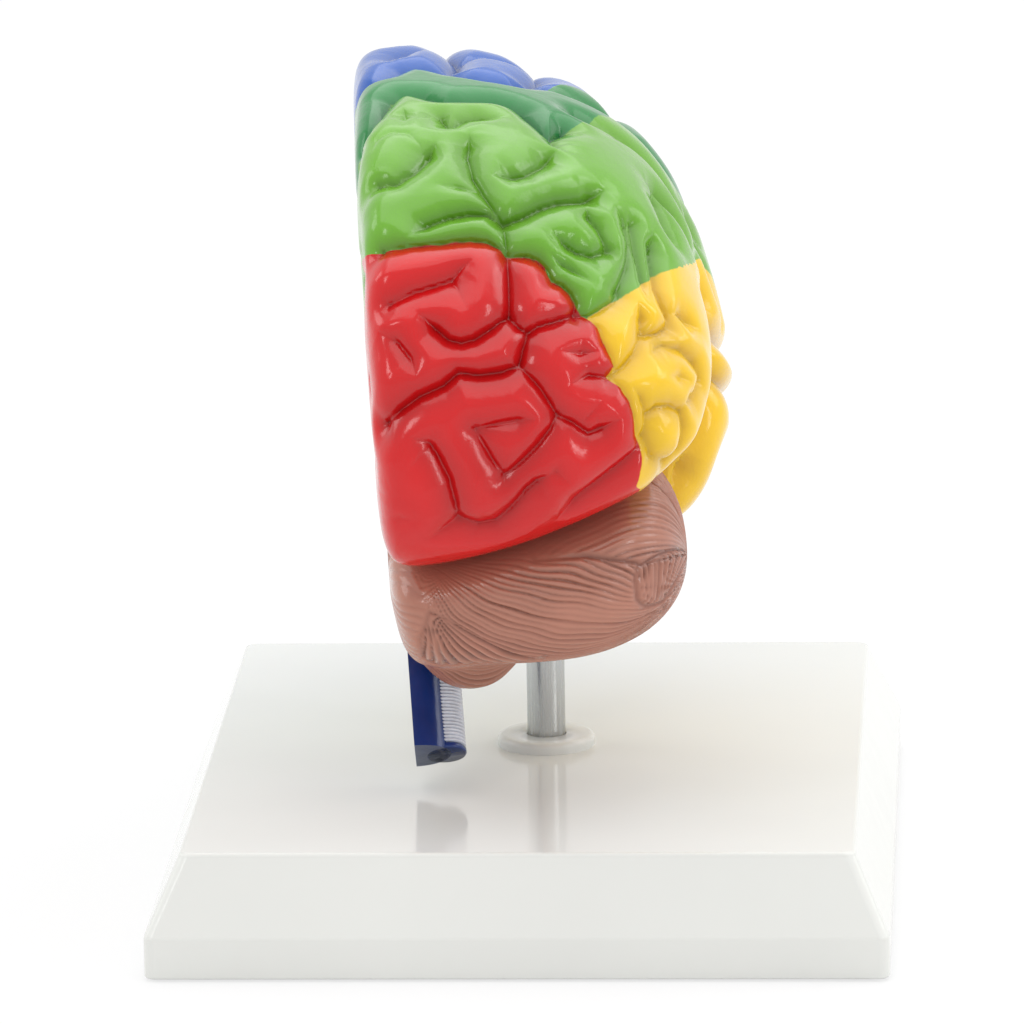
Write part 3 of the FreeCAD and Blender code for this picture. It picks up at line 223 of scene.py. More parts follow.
# Grooves of the front, outward and up
FRONT_GROOVES = [
    (1, 1, 0.9, [(-14, 118), (-12, 107), (-15, 96), (-13, 84)]),
    (1, 1, 0.9, [(2, 116), (4, 104), (1, 93), (4, 82), (0, 72)]),
    (1, 0, 0.7, [(-24, 100), (-15, 96)]),
    (1, 0, 0.7, [(15, 96), (8, 98), (4, 104)]),
    (1, 1, 0.7, [(-22, 76), (-13, 72), (-4, 64)]),
    (1, 1, 0.8, [(18, 88), (15, 78), (19, 69)]),
]

# Grooves of the flat inner face, forward and up
INNER_GROOVES = [
    (1, 1, 0.9, [(34, 84), (46, 92), (48, 106), (38, 116), (20, 121), (0, 121), (-18, 117), (-28, 124),
                 (-32, 136)]),
    (1, 1, 1.0, [(22, 86), (31, 92), (32, 100), (24, 106), (6, 109), (-14, 106), (-26, 98), (-28, 90)]),
    (1, 1, 0.8, [(20, 92), (24, 96), (20, 99), (4, 101), (-14, 98), (-20, 92)]),
    (0, 1, 1.0, [(-30, 84), (-42, 92), (-52, 104), (-60, 116)]),
    (0, 1, 1.0, [(-30, 84), (-46, 82), (-60, 84), (-74, 80)]),
    (1, 1, 0.8, [(-30, 112), (-42, 110), (-50, 120)]),
    (1, 1, 0.7, [(-64, 96), (-74, 94)]),
    (1, 1, 0.8, [(60, 100), (66, 112), (58, 124), (44, 130)]),
    (1, 1, 0.7, [(58, 80), (66, 88), (72, 100)]),
    (1, 1, 0.7, [(4, 130), (12, 126)]),
    (1, 1, 0.8, [(40, 72), (54, 74), (64, 70)]),
]

# Grooves of the underside, outward and forward
UNDER_GROOVES = [
    (1, 1, 0.9, [(14, -16), (16, -2), (15, 14), (17, 30), (12, 40)]),
    (1, 1, 0.8, [(30, -18), (31, -2), (29, 14), (30, 28)]),
    (1, 1, 0.8, [(-18, 56), (-16, 66), (-18, 76)]),
    (1, 1, 0.7, [(-8, 60), (0, 64), (8, 60)]),
]

GROOVE_FADE = 6.0
GROOVE_SPACING = 3.0
GROOVE_SUM_POWER = 4.0
REACH = 150.0
GROOVE_FAMILIES = (("rear", REAR_GROOVES), ("side", SIDE_GROOVES), ("top", TOP_GROOVES),
                   ("front", FRONT_GROOVES), ("inner", INNER_GROOVES), ("under", UNDER_GROOVES))

# Paint fields. Each has the pole that its border is laid flat round, and a closed border of (view, points):
# rear points in picture pixels, the rest in millimetres
PAINT_BORDERS = {
    "dark_green": ((0.1, -0.1, 1.0), [
        ("rear", [(352, 157), (360, 138), (369, 116), (385, 91), (398, 88), (419, 88), (441, 94),
                  (463, 94), (493, 95), (507, 98), (524, 104), (539, 117), (552, 128), (567, 123),
                  (582, 122)]),
        ("side", [(6, 132), (14, 129), (20, 126), (18, 115), (24, 104), (24, 94), (28, 84), (27, 70)]),
        ("side", [(41, 65), (46, 75), (48, 84), (46, 96), (40, 106), (36, 113), (36, 121), (30, 132)]),
        ("rear", [(545, 80), (515, 80), (487, 75), (459, 70), (439, 64), (419, 62), (398, 63),
                  (378, 74), (361, 87), (352, 100)]),
        ("inner", [(14, 136), (8, 124), (-6, 122), (-20, 123), (-26, 130)])]),
    "blue": ((0.2, 1.0, 0.1), [
        ("rear", [(352, 100), (361, 87), (378, 74), (398, 63), (419, 62), (439, 64), (459, 70),
                  (487, 75), (515, 80), (545, 80)]),
        ("side", [(30, 132), (36, 121), (36, 113), (40, 106), (46, 96), (48, 84), (46, 75), (41, 65)]),
        ("side", [(45, 62), (50, 60)]),
        ("under", [(22, 50), (8, 46), (-8, 42), (-26, 36)]),
        ("inner", [(34, 70), (34, 84), (46, 92), (48, 106), (38, 116), (20, 121), (8, 124), (14, 136)])]),
    "yellow": ((1.0, -0.1, -0.6), [
        ("rear", [(588, 326), (594, 317), (617, 304), (640, 288), (659, 277), (675, 268)]),
        ("side", [(-12, 103), (0, 101), (9, 97), (15, 90), (20, 82), (28, 71), (40, 66), (50, 60)]),
        ("under", [(20, 50), (6, 42), (-6, 26), (-6, 6), (-4, -16), (6, -30)]),
        ("rear", [(600, 470), (590, 420), (585, 360)])]),
    "cream": ((-1.0, 0.0, -0.1), [
        ("inner", [(-30, 84), (-26, 98), (-14, 107), (6, 110), (24, 107), (33, 100), (32, 92), (22, 84),
                   (10, 76), (-16, 74)])]),
    "red": ((-0.1, -1.0, -0.1), [
        ("rear", [(361, 262), (378, 250), (397, 245), (416, 242), (436, 241), (455, 237), (469, 237),
                  (487, 239), (501, 246), (506, 253), (514, 254), (528, 254), (540, 258), (548, 265),
                  (555, 280), (564, 284), (574, 293), (580, 305), (584, 315), (592, 319), (602, 328),
                  (607, 344), (615, 358), (619, 369), (613, 381), (625, 390), (634, 404), (638, 422),
                  (640, 440), (645, 450), (646, 462), (642, 474), (637, 486), (633, 497)]),
        ("under", [(14, -50), (0, -42), (-16, -38), (-26, -36)]),
        ("inner", [(-32, 80), (-42, 92), (-52, 104), (-58, 114)])]),
}

# Fine creases seen from behind, in picture pixels: start fades, end fades, depth share, points
REAR_CREASES = [
    (1, 1, 1.0, [(402, 106), (404, 120)]),
    (1, 1, 0.6, [(372, 150), (376, 138), (390, 131), (408, 132), (419, 142), (420, 156)]),
    (1, 1, 0.8, [(376, 168), (394, 171), (414, 166)]),
    (1, 1, 0.7, [(371, 176), (388, 179)]),
    (1, 1, 0.9, [(442, 182), (458, 182), (472, 186)]),
    (1, 1, 0.8, [(515, 176), (530, 172), (543, 166)]),
    (1, 1, 0.8, [(417, 117), (428, 110), (442, 107)]),
    (1, 1, 0.7, [(437, 70), (440, 84), (439, 95)]),
    (1, 1, 0.8, [(605, 133), (618, 138), (631, 146)]),
    (1, 1, 0.8, [(540, 226), (556, 241), (572, 256)]),
    (1, 1, 0.7, [(430, 222), (446, 219), (462, 221)]),
    (1, 1, 0.7, [(655, 262), (658, 276)]),
    (1, 1, 0.9, [(672, 376), (686, 378), (697, 384)]),
    (1, 1, 0.6, [(404, 58), (412, 63)]),
    (1, 1, 0.6, [(380, 492), (396, 498)]),
    (1, 1, 0.8, [(384, 520), (400, 519), (414, 523)]),
    (1, 1, 0.7, [(388, 500), (390, 508)]),
    (1, 1, 0.6, [(562, 351), (583, 352), (600, 348)]),
]
CREASE_WIDTH = 3.0
CREASE_DEPTH = 1.0
CREASE_FLOOR = 0.6
LARGEST_JUMP = 9.0
BED_SHARE = 0.6
BANK_POWER = 1.8
BED_REACH = 2.4
FADE_START = 0.2
FADE_RANGE = 0.3
LEAST_SLOPE = 0.5
BORDER_REACH = 8.0

# Fineness of the casting's skins
CEREBRUM_STEPS = 24
CEREBRUM_DIVISIONS = 2
EVEN_ROUNDS = 40
CEREBELLUM_TURNS = 430
CEREBELLUM_BANDS = 218
BED_CROWDING = 0.42
REAR_CROWDING = 0.42

# Long axis that the cerebellum is unrolled round, forward and up, and the radius of the unrolled skin
UNROLL_AXIS = (-48.0, 50.0)
UNROLL_RADIUS = 26.0
FOLD_EDGE = 1.2

# Cerebellum lines in picture pixels: the two ends its long folds run to, and the edges of its parts
FOLD_ENDS = [(425, 563), (680, 585)]
UPPER_PART = [(470, 470), (740, 470), (740, 545), (687, 553), (642, 566), (637, 563), (584, 555), (535, 560)]
UPPER_START = (535, 560)
SIDE_FAN = [(639, 567), (636, 580), (638, 600), (646, 607), (664, 602), (690, 593), (728, 588), (728, 543),
            (690, 552), (665, 559)]
LOWER_FAN = [(429, 612), (448, 621), (480, 640), (505, 652), (540, 660), (548, 675), (520, 710), (440, 710),
             (425, 690), (420, 640)]
SMOOTH_PART = [(372, 530), (402, 545), (414, 572), (429, 612), (420, 640), (425, 690), (420, 720), (360, 720)]
SIDE_FAN_CENTRE = (658, 676)
LOWER_FAN_CENTRE = (427, 600)
FLAT_GUIDES = [(430, 590), (560, 575), (560, 640), (480, 600), (640, 580), (600, 620), (500, 640)]


def soft_low(values, softness):
    """Smooth lowest value: shapes joined with a rounded valley."""
    low = np.minimum.reduce(values)
    return low - softness * np.log(sum(np.exp((low - value) / softness) for value in values))


def soft_high(values, softness):
    return -soft_low([-value for value in values], softness)


def unit(vectors):
    return vectors / np.linalg.norm(vectors, axis=-1, keepdims=True)


def smooth_step(value):
    value = np.clip(value, 0.0, 1.0)
    return value * value * (3.0 - 2.0 * value)


def lobe_measure(points, lobe):
    """Signed measure of one lobe: negative inside, zero on its skin."""
    centre, half_width, lengths, heights, fullness = lobe
    offset = points - np.array(centre)
    across = np.abs(offset[..., 0]) / half_width
    along = np.abs(offset[..., 1]) / np.where(offset[..., 1] > 0, lengths[0], lengths[1])
    upward = np.abs(offset[..., 2]) / np.where(offset[..., 2] > 0, heights[0], heights[1])
    total = across ** fullness + along ** fullness + upward ** fullness
    return (total ** (1.0 / fullness) - 1.0) * min(half_width, lengths[0], heights[1])


def roof_measure(points):
    """Distance above the sloping plane between the occipital lobe and the cerebellum."""
    forward, outward = ROOF_SLOPES
    level = (ROOF_POINT[2] + forward * (points[..., 1] - ROOF_POINT[1])
             + outward * (points[..., 0] - ROOF_POINT[0]))
    return (points[..., 2] - level) / math.sqrt(1.0 + forward ** 2 + outward ** 2)


def wall_measure(points):
    """Distance ahead of the leaning plane in front of the cerebellum."""
    upward, outward = WALL_SLOPES
    place = (WALL_POINT[1] + upward * (points[..., 2] - WALL_POINT[2])
             + outward * (points[..., 0] - WALL_POINT[0]))
    return (points[..., 1] - place) / math.sqrt(1.0 + upward ** 2 + outward ** 2)


def cerebrum_measure(points):
    body = soft_low([lobe_measure(points, lobe) for lobe in CEREBRUM_LOBES], CEREBRUM_BLEND)
    body = soft_high([body, -MEDIAL_OFFSET - points[..., 0]], MEDIAL_EDGE_BLEND)
    notch = soft_high([roof_measure(points), wall_measure(points)], NOTCH_BLEND)
    body = soft_high([body, -notch], LOWER_EDGE_BLEND)
    side = points[..., 0] - (STEM_ROOM_SIDE - STEM_ROOM_LEAN * (points[..., 2] - STEM_ROOM_LEVEL))
    roof = points[..., 2] - STEM_TOP - GLUE_GAP
    ends = np.abs(points[..., 1] - STEM_ROOM_MIDDLE) - STEM_ROOM_HALF
    return soft_high([body, -soft_high([side, roof, ends], NOTCH_BLEND)], EDGE_BLEND)


def cerebellum_measure(points):
    body = soft_low([lobe_measure(points, lobe) for lobe in CEREBELLUM_LOBES], CEREBELLUM_BLEND)
    depth = np.maximum(0.0, CEREBELLUM_HEART[2] - points[..., 2])
    inner = CEREBELLUM_INSET + CEREBELLUM_INNER_LEAN * depth - MEDIAL_OFFSET
    body = soft_high([body, inner - points[..., 0]], EDGE_BLEND)
    return soft_high([body, roof_measure(points) + GLUE_GAP, wall_measure(points) + GLUE_GAP], EDGE_BLEND)


def on_skin(measure, heart, directions, halvings=20):
    """Points where rays from the heart meet the skin."""
    inner = np.zeros(len(directions))
    outer = np.full(len(directions), REACH)
    for _ in range(halvings):
        middle = (inner + outer) / 2.0
        inside = measure(heart + directions * middle[:, None]) < 0
        inner = np.where(inside, middle, inner)
        outer = np.where(inside, outer, middle)
    return heart + directions * ((inner + outer) / 2.0)[:, None]


def skin_slope(measure, points, step=0.4):
    """Outward directions square to the skin."""
    slopes = []
    for axis in np.eye(3):
        slopes.append(measure(points + axis * step) - measure(points - axis * step))
    return unit(np.stack(slopes, -1))


def first_hits(measure, starts, directions, length, step=2.0):
    """First points of the skin along many lines, and which lines meet it."""
    travel = np.zeros(len(starts))
    moving = np.ones(len(starts), bool)
    while moving.any():
        moving &= measure(starts + directions * travel[:, None]) > 0
        moving &= travel < length
        travel = np.where(moving, travel + step, travel)
    met = travel < length
    outside, inside = np.maximum(travel - step, 0.0), travel
    for _ in range(14):
        middle = (outside + inside) / 2.0
        clear = measure(starts + directions * middle[:, None]) > 0
        outside = np.where(clear, middle, outside)
        inside = np.where(clear, inside, middle)
    return starts + directions * inside[:, None], met


def eye_axes():
    """Place and axes of the eye of the reference picture, in millimetres of the stand's frame."""
    yaw, rise, roll = (math.radians(angle) for angle in (EYE_YAW, EYE_ELEVATION, EYE_ROLL))
    back = np.array([math.sin(yaw) * math.cos(rise), -math.cos(yaw) * math.cos(rise), math.sin(rise)])
    level = unit(np.cross(-back, [0.0, 0.0, 1.0]))
    over = np.cross(level, -back)
    right = math.cos(roll) * level + math.sin(roll) * over
    up = math.cos(roll) * over - math.sin(roll) * level
    return EYE_TARGET + back * EYE_DISTANCE, back, right, up


def casting_turn():
    sizes = bpy.context.scene.casting_sizes
    turn = Matrix.Rotation(sizes.turn, 3, "Z") @ Matrix.Rotation(-sizes.tilt, 3, "Y")
    return np.array(turn)


def to_stand(points):
    """Casting frame, millimetres, to the stand's frame, metres."""
    return (points @ casting_turn().T) * MM + np.array([0.0, 0.0, STAND_HIGH.z])


def from_stand(points):
    """Stand's frame, millimetres, to the casting frame."""
    return (points - np.array([0.0, 0.0, STAND_HIGH.z / MM])) @ casting_turn()


def picture_rays(pixels):
    eye, back, right, up = eye_axes()
    pixels = np.asarray(pixels, float)
    aim = unit(-back + right * ((pixels[:, :1] - PICTURE_CENTRE) / EYE_FOCAL)
               + up * ((PICTURE_CENTRE - pixels[:, 1:]) / EYE_FOCAL))
    starts = from_stand(eye + aim * (EYE_DISTANCE - REACH))
    return starts, aim @ casting_turn()


def view_rays(view, spots):
    """Lines that look for the skin from one side of the casting."""
    spots = np.asarray(spots, float)
    if view == "rear":
        return picture_rays(spots)
    first, second = spots[:, 0], spots[:, 1]
    far = np.full(len(spots), REACH)
    starts = {
        "side": (far, first, second), "top": (first, second, far + 50.0), "front": (first, far, second),
        "inner": (-far, first, second), "under": (first, second, far * 0.0)}[view]
    aim = {"side": (-1, 0, 0), "top": (0, 0, -1), "front": (0, -1, 0), "inner": (1, 0, 0),
           "under": (0, 0, 1)}[view]
    return np.stack(starts, -1), np.tile(np.array(aim, float), (len(spots), 1))


def smooth_curve(points, spacing):
    """Points along a smooth curve through the given points."""
    padded = np.array([points[0]] + list(points) + [points[-1]], float)
    curve = []
    for number in range(1, len(padded) - 2):
        p, q, r, s = padded[number - 1:number + 3]
        pieces = max(1, int(np.linalg.norm(r - q) / spacing))
        for t in np.arange(pieces) / pieces:
            curve.append(0.5 * (2 * q + (r - p) * t + (2 * p - 5 * q + 4 * r - s) * t * t
                                + (3 * q - p - 3 * r + s) * t ** 3))
    curve.append(padded[-1])
    return np.array(curve)


def geodesic_ball(steps):
    """Unit directions and triangles of a twenty-sided ball with each edge cut into steps."""
    golden = (1.0 + math.sqrt(5.0)) / 2.0
    corners = []
    for one in (-1.0, 1.0):
        for two in (-golden, golden):
            corners += [(0, one, two), (one, two, 0), (two, 0, one)]
    corners = np.array(corners)
    gaps = np.linalg.norm(corners[:, None] - corners[None], axis=-1)
    near = (gaps > 0.1) & (gaps < 2.1)
    spots, triangles = [], []
    for i in range(12):
        for j in range(i + 1, 12):
            for k in range(j + 1, 12):
                if not (near[i, j] and near[j, k] and near[i, k]):
                    continue
                a, b, c = corners[i], corners[j], corners[k]
                if np.dot(np.cross(b - a, c - a), a) < 0:
                    b, c = c, b
                first = len(spots)
                index = {}
                for along in range(steps + 1):
                    for across in range(steps + 1 - along):
                        index[along, across] = first + len(index)
                        spots.append(a * (steps - along - across) + b * along + c * across)
                for along in range(steps):
                    for across in range(steps - along):
                        one, two, three = (index[along, across], index[along + 1, across],
                                           index[along, across + 1])
                        triangles.append((one, two, three))
                        if along + across < steps - 1:
                            triangles.append((two, index[along + 1, across + 1], three))
    spots = unit(np.array(spots))
    _, keep, back = np.unique(np.round(spots, 6), axis=0, return_index=True, return_inverse=True)
    return spots[keep], back.reshape(-1)[np.array(triangles)]


def mesh_edges(triangles):
    """Each edge once, and the three edges of every triangle."""
    sides = np.concatenate([triangles[:, [0, 1]], triangles[:, [1, 2]], triangles[:, [2, 0]]])
    sides = np.sort(sides, axis=1)
    edges, back = np.unique(sides, axis=0, return_inverse=True)
    return edges, back.reshape(3, -1)


def divided(points, triangles):
    """Every triangle cut into four."""
    edges, (ab, bc, ca) = mesh_edges(triangles)
    first = len(points)
    ab, bc, ca = ab + first, bc + first, ca + first
    a, b, c = triangles.T
    smaller = [np.stack(corners, -1) for corners in ((a, ab, ca), (ab, b, bc), (ca, bc, c), (ab, bc, ca))]
    return np.concatenate([points, points[edges].mean(axis=1)]), np.concatenate(smaller)


def evened(measure, heart, directions, edges, closeness, rounds):
    """Skin points spread over the casting, closest together where it shows most."""
    points = on_skin(measure, heart, directions)
    one, two, count = edges[:, 0], edges[:, 1], len(directions)
    for _ in range(rounds):
        weights = closeness(points)
        total = np.bincount(one, weights[two], count) + np.bincount(two, weights[one], count)
        middle = np.stack([
            np.bincount(one, (weights * points[:, axis])[two], count)
            + np.bincount(two, (weights * points[:, axis])[one], count) for axis in range(3)], -1)
        directions = unit(0.3 * points + 0.7 * middle / total[:, None] - heart)
        points = on_skin(measure, heart, directions)
    return points


def cerebrum_closeness(points):
    """Weight of each place in the spread of the skin points: more at the rear, less where hidden."""
    rear = np.clip((30.0 - points[:, 1]) / 55.0, 0.0, 1.0)
    weight = 1.0 + 2.0 * rear
    hidden = (points[:, 0] < EDGE_BLEND - MEDIAL_OFFSET) | (points[:, 2] < 58.0)
    return np.where(hidden, weight * 0.5, weight)


def laid_chain(view, spots):
    """A groove or border laid on the skin of the cerebrum."""
    spacing = GROOVE_SPACING * (4.8 if view == "rear" else 1.0)
    starts, directions = view_rays(view, smooth_curve(spots, spacing))
    points, met = first_hits(cerebrum_measure, starts, directions, 2.2 * REACH)
    return points[met]


def nearest_on(chain, points, reach):
    """For the points within reach of a chain: their numbers, gaps, nearest places and marks along it."""
    runs = np.diff(chain, axis=0)
    spans = np.maximum((runs ** 2).sum(-1), 1e-9)
    marks = np.concatenate([[0.0], np.cumsum(np.sqrt(spans))])
    middle = chain.mean(axis=0)
    radius = np.linalg.norm(chain - middle, axis=1).max() + reach
    near = np.nonzero(((points - middle) ** 2).sum(-1) < radius ** 2)[0]
    if not len(near):
        return near, np.zeros(0), np.zeros((0, 3)), np.zeros(0), marks[-1]
    offset = points[near][:, None] - chain[None, :-1]
    t = np.clip((offset * runs[None]).sum(-1) / spans, 0.0, 1.0)
    gaps = np.linalg.norm(offset - runs[None] * t[..., None], axis=-1)
    best = gaps.argmin(axis=1)
    rows = np.arange(len(near))
    gap, share = gaps[rows, best], t[rows, best]
    places = chain[best] + runs[best] * share[:, None]
    mark = marks[best] + share * np.sqrt(spans[best])
    keep = gap < reach
    return near[keep], gap[keep], places[keep], mark[keep], marks[-1]


def all_laid(families):
    """Grooves of the cerebrum: each chain on the skin, with its fades and its share of the depth."""
    laid = []
    for view, grooves in families:
        for start_fades, end_fades, share, spots in grooves:
            laid += unbroken(laid_chain(view, spots), start_fades, end_fades, share)
    return laid


def unbroken(chain, start_fades, end_fades, share):
    """Parts of a chain between the places where it leaps from a near lobe to a far one."""
    leaps = np.nonzero(np.linalg.norm(np.diff(chain, axis=0), axis=1) > LARGEST_JUMP)[0] + 1
    return [(part, start_fades, end_fades, share) for part in np.split(chain, leaps) if len(part) > 1]


def drawn_together(points, grooves, reach):
    """Skin points gathered over the beds of the grooves, where the surface bends most."""
    best = np.full(len(points), reach)
    place = points.copy()
    for chain, _, _, _ in grooves:
        near, gap, places, _, _ = nearest_on(chain, points, reach)
        closer = gap < best[near]
        best[near[closer]] = gap[closer]
        place[near[closer]] = places[closer]
    share = BED_CROWDING + (1.0 - BED_CROWDING) * smooth_step(best / reach)
    return place + (points - place) * share[:, None]


def groove_depths(points, grooves, width, depth):
    """How far each skin point sinks into the grooves near it, millimetres."""
    total = np.zeros(len(points))
    for chain, start_fades, end_fades, share in grooves:
        near, gap, _, mark, length = nearest_on(chain, points, width)
        strength = np.full(len(near), share)
        if start_fades:
            strength *= np.minimum(1.0, 0.25 + mark / GROOVE_FADE)
        if end_fades:
            strength *= np.minimum(1.0, 0.25 + (length - mark) / GROOVE_FADE)
        bank = 1.0 - gap / width
        profile = BED_SHARE * (1.0 - np.sqrt(1.0 - bank * bank)) + (1.0 - BED_SHARE) * bank ** BANK_POWER
        total[near] += (depth * strength * profile) ** GROOVE_SUM_POWER
    return total ** (1.0 / GROOVE_SUM_POWER)


def inside_outline(flat, outline):
    """Which flat points lie inside a closed outline."""
    x, y = flat[:, 0], flat[:, 1]
    inside = np.zeros(len(flat), bool)
    for (x1, y1), (x2, y2) in zip(outline, np.roll(outline, -1, axis=0)):
        crosses = (y1 > y) != (y2 > y)
        if abs(y2 - y1) > 1e-12:
            inside ^= crosses & (x < (x2 - x1) * (y - y1) / (y2 - y1) + x1)
    return inside


def spread_flat(directions, pole):
    """Directions laid flat round a pole, true to their angle from it."""
    pole = unit(np.array(pole, float))
    side = unit(np.cross(pole, [0.3, 0.2, 0.9]))
    over = np.cross(pole, side)
    angle = np.arccos(np.clip(directions @ pole, -1.0, 1.0))
    across, up = directions @ side, directions @ over
    length = np.maximum(np.hypot(across, up), 1e-9)
    return np.stack([across * angle / length, up * angle / length], -1)


def border_distance(points, pole, chains):
    """Signed distance in millimetres to a paint border: above zero inside it."""
    laid = [laid_chain(view, spots) for view, spots in chains]
    border = np.concatenate(laid + [laid[0][:1]])
    outline = []
    for before, after in zip(border, border[1:]):
        pieces = max(1, int(np.linalg.norm(after - before) / 3.0))
        outline += [before + (after - before) * t / pieces for t in range(pieces)]
    outline = spread_flat(unit(np.array(outline) - CEREBRUM_HEART), pole)
    inside = inside_outline(spread_flat(unit(points - CEREBRUM_HEART), pole), outline)
    gap = np.full(len(points), BORDER_REACH)
    near, found, _, _, _ = nearest_on(border, points, BORDER_REACH)
    gap[near] = found
    return np.where(inside, gap, -gap)


def waves(first, second, scale, seed):
    """Smooth wandering value between about -1 and 1."""
    draw = np.random.default_rng(seed)
    total = np.zeros_like(first)
    for _ in range(6):
        angle, pitch, start = draw.uniform(0, 2 * math.pi), draw.uniform(0.6, 1.7), draw.uniform(0, 6.3)
        total += np.sin((first * math.cos(angle) + second * math.sin(angle)) * pitch / scale + start)
    return total / 2.6


def plain_mesh(name, points, triangles, marks=None):
    """Mesh object from arrays in metres, with named values on its points."""
    mesh = bpy.data.meshes.new(name)
    mesh.vertices.add(len(points))
    mesh.vertices.foreach_set("co", points.astype(np.float32).ravel())
    mesh.loops.add(triangles.size)
    mesh.loops.foreach_set("vertex_index", triangles.astype(np.int32).ravel())
    mesh.polygons.add(len(triangles))
    mesh.polygons.foreach_set("loop_start", np.arange(0, triangles.size, 3, dtype=np.int32))
    mesh.polygons.foreach_set("use_smooth", np.ones(len(triangles), bool))
    mesh.update(calc_edges=True)
    for mark, values in (marks or {}).items():
        mesh.attributes.new(mark, "FLOAT", "POINT").data.foreach_set("value", values.astype(np.float32))
    piece = bpy.data.objects.new(name, mesh)
    bpy.context.scene.collection.objects.link(piece)
    return piece


def finished(piece, material, body, slot, *nodes):
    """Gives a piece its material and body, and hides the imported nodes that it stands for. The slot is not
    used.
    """
    piece.data.materials.clear()
    piece.data.materials.append(material)
    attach(piece, body)
    if nodes:
        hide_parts(*nodes)


def settle(piece):
    """Works a piece's modifiers into its plain mesh."""
    graph = bpy.context.evaluated_depsgraph_get()
    mesh = bpy.data.meshes.new_from_object(piece.evaluated_get(graph))
    piece.modifiers.clear()
    piece.data = mesh


def bore(piece, centre, radius, low, high):
    """Cuts an upright round hole into a piece."""
    form = bmesh.new()
    bmesh.ops.create_cone(form, cap_ends=True, segments=64, radius1=radius, radius2=radius, depth=high - low,
                          matrix=Matrix.Translation((centre[0], centre[1], (low + high) / 2)))
    mesh = bpy.data.meshes.new("bore")
    form.to_mesh(mesh)
    form.free()
    drill = bpy.data.objects.new("bore", mesh)
    bpy.context.scene.collection.objects.link(drill)
    cut = piece.modifiers.new("bore", "BOOLEAN")
    cut.operation = "DIFFERENCE"
    cut.solver = "EXACT"
    cut.object = drill
    settle(piece)
    bpy.data.objects.remove(drill)


def round_rings(profile):
    """Circles about the post's axis from (radius, height) corners in metres."""
    turns = np.arange(ROUND_SIDES) * 2 * math.pi / ROUND_SIDES
    return [np.stack([POST_X + radius * np.cos(turns), radius * np.sin(turns),
                      np.full(ROUND_SIDES, height)], -1) for radius, height in profile]


def turned_form(name, profile):
    """Closed ring-like form turned about the post's axis from (radius, height) corners in metres."""
    points = np.concatenate(round_rings(profile))
    triangles = []
    rings = len(profile)
    for ring in range(rings):
        low, high = ring * ROUND_SIDES, ((ring + 1) % rings) * ROUND_SIDES
        for side in range(ROUND_SIDES):
            following = (side + 1) % ROUND_SIDES
            triangles.append((low + side, low + following, high + following))
            triangles.append((low + side, high + following, high + side))
    return plain_mesh(name, points, np.array(triangles))


def arc(centre, radius, start, end, steps):
    """(Radius, height) corners along an arc between two angles in degrees."""
    angles = np.radians(np.linspace(start, end, steps))
    return [(centre[0] + radius * math.cos(a), centre[1] + radius * math.sin(a)) for a in angles]


def sharp_by_angle(piece, degrees=35.0):
    piece.data.set_sharp_from_angle(angle=math.radians(degrees))


def colour(red, green, blue):
    """Plain screen colour, 0 to 255, as the linear colour that a shader takes."""
    linear = []
    for value in (red, green, blue):
        share = value / 255.0
        linear.append(share / 12.92 if share <= 0.04045 else ((share + 0.055) / 1.055) ** 2.4)
    return tuple(linear)


class CastingSizes(bpy.types.PropertyGroup):
    """Sizes of the painted casting."""
    groove_width: bpy.props.FloatProperty(
        name="Groove width", description="Half width of a groove's rounded banks",
        default=0.0080, unit="LENGTH")
    groove_depth: bpy.props.FloatProperty(
        name="Groove depth", description="Depth of a full groove", default=0.0044, unit="LENGTH")
    tilt: bpy.props.FloatProperty(
        name="Tilt", description="Lean of the half brain on its post", default=math.radians(3.4),
        subtype="ANGLE")
    turn: bpy.props.FloatProperty(
        name="Turn", description="Turn of the half brain on its post", default=math.radians(4.1),
        subtype="ANGLE")
    fold_pitch: bpy.props.FloatProperty(
        name="Fold pitch", description="Distance between the thin folds of the cerebellum",
        default=0.0015, unit="LENGTH")
    fold_depth: bpy.props.FloatProperty(
        name="Fold depth", description="Depth between the thin folds", default=0.00105, unit="LENGTH")
    root_ridges: bpy.props.IntProperty(
        name="Root ridges", description="Ridges on the white strip beside the stem", default=19, min=3)


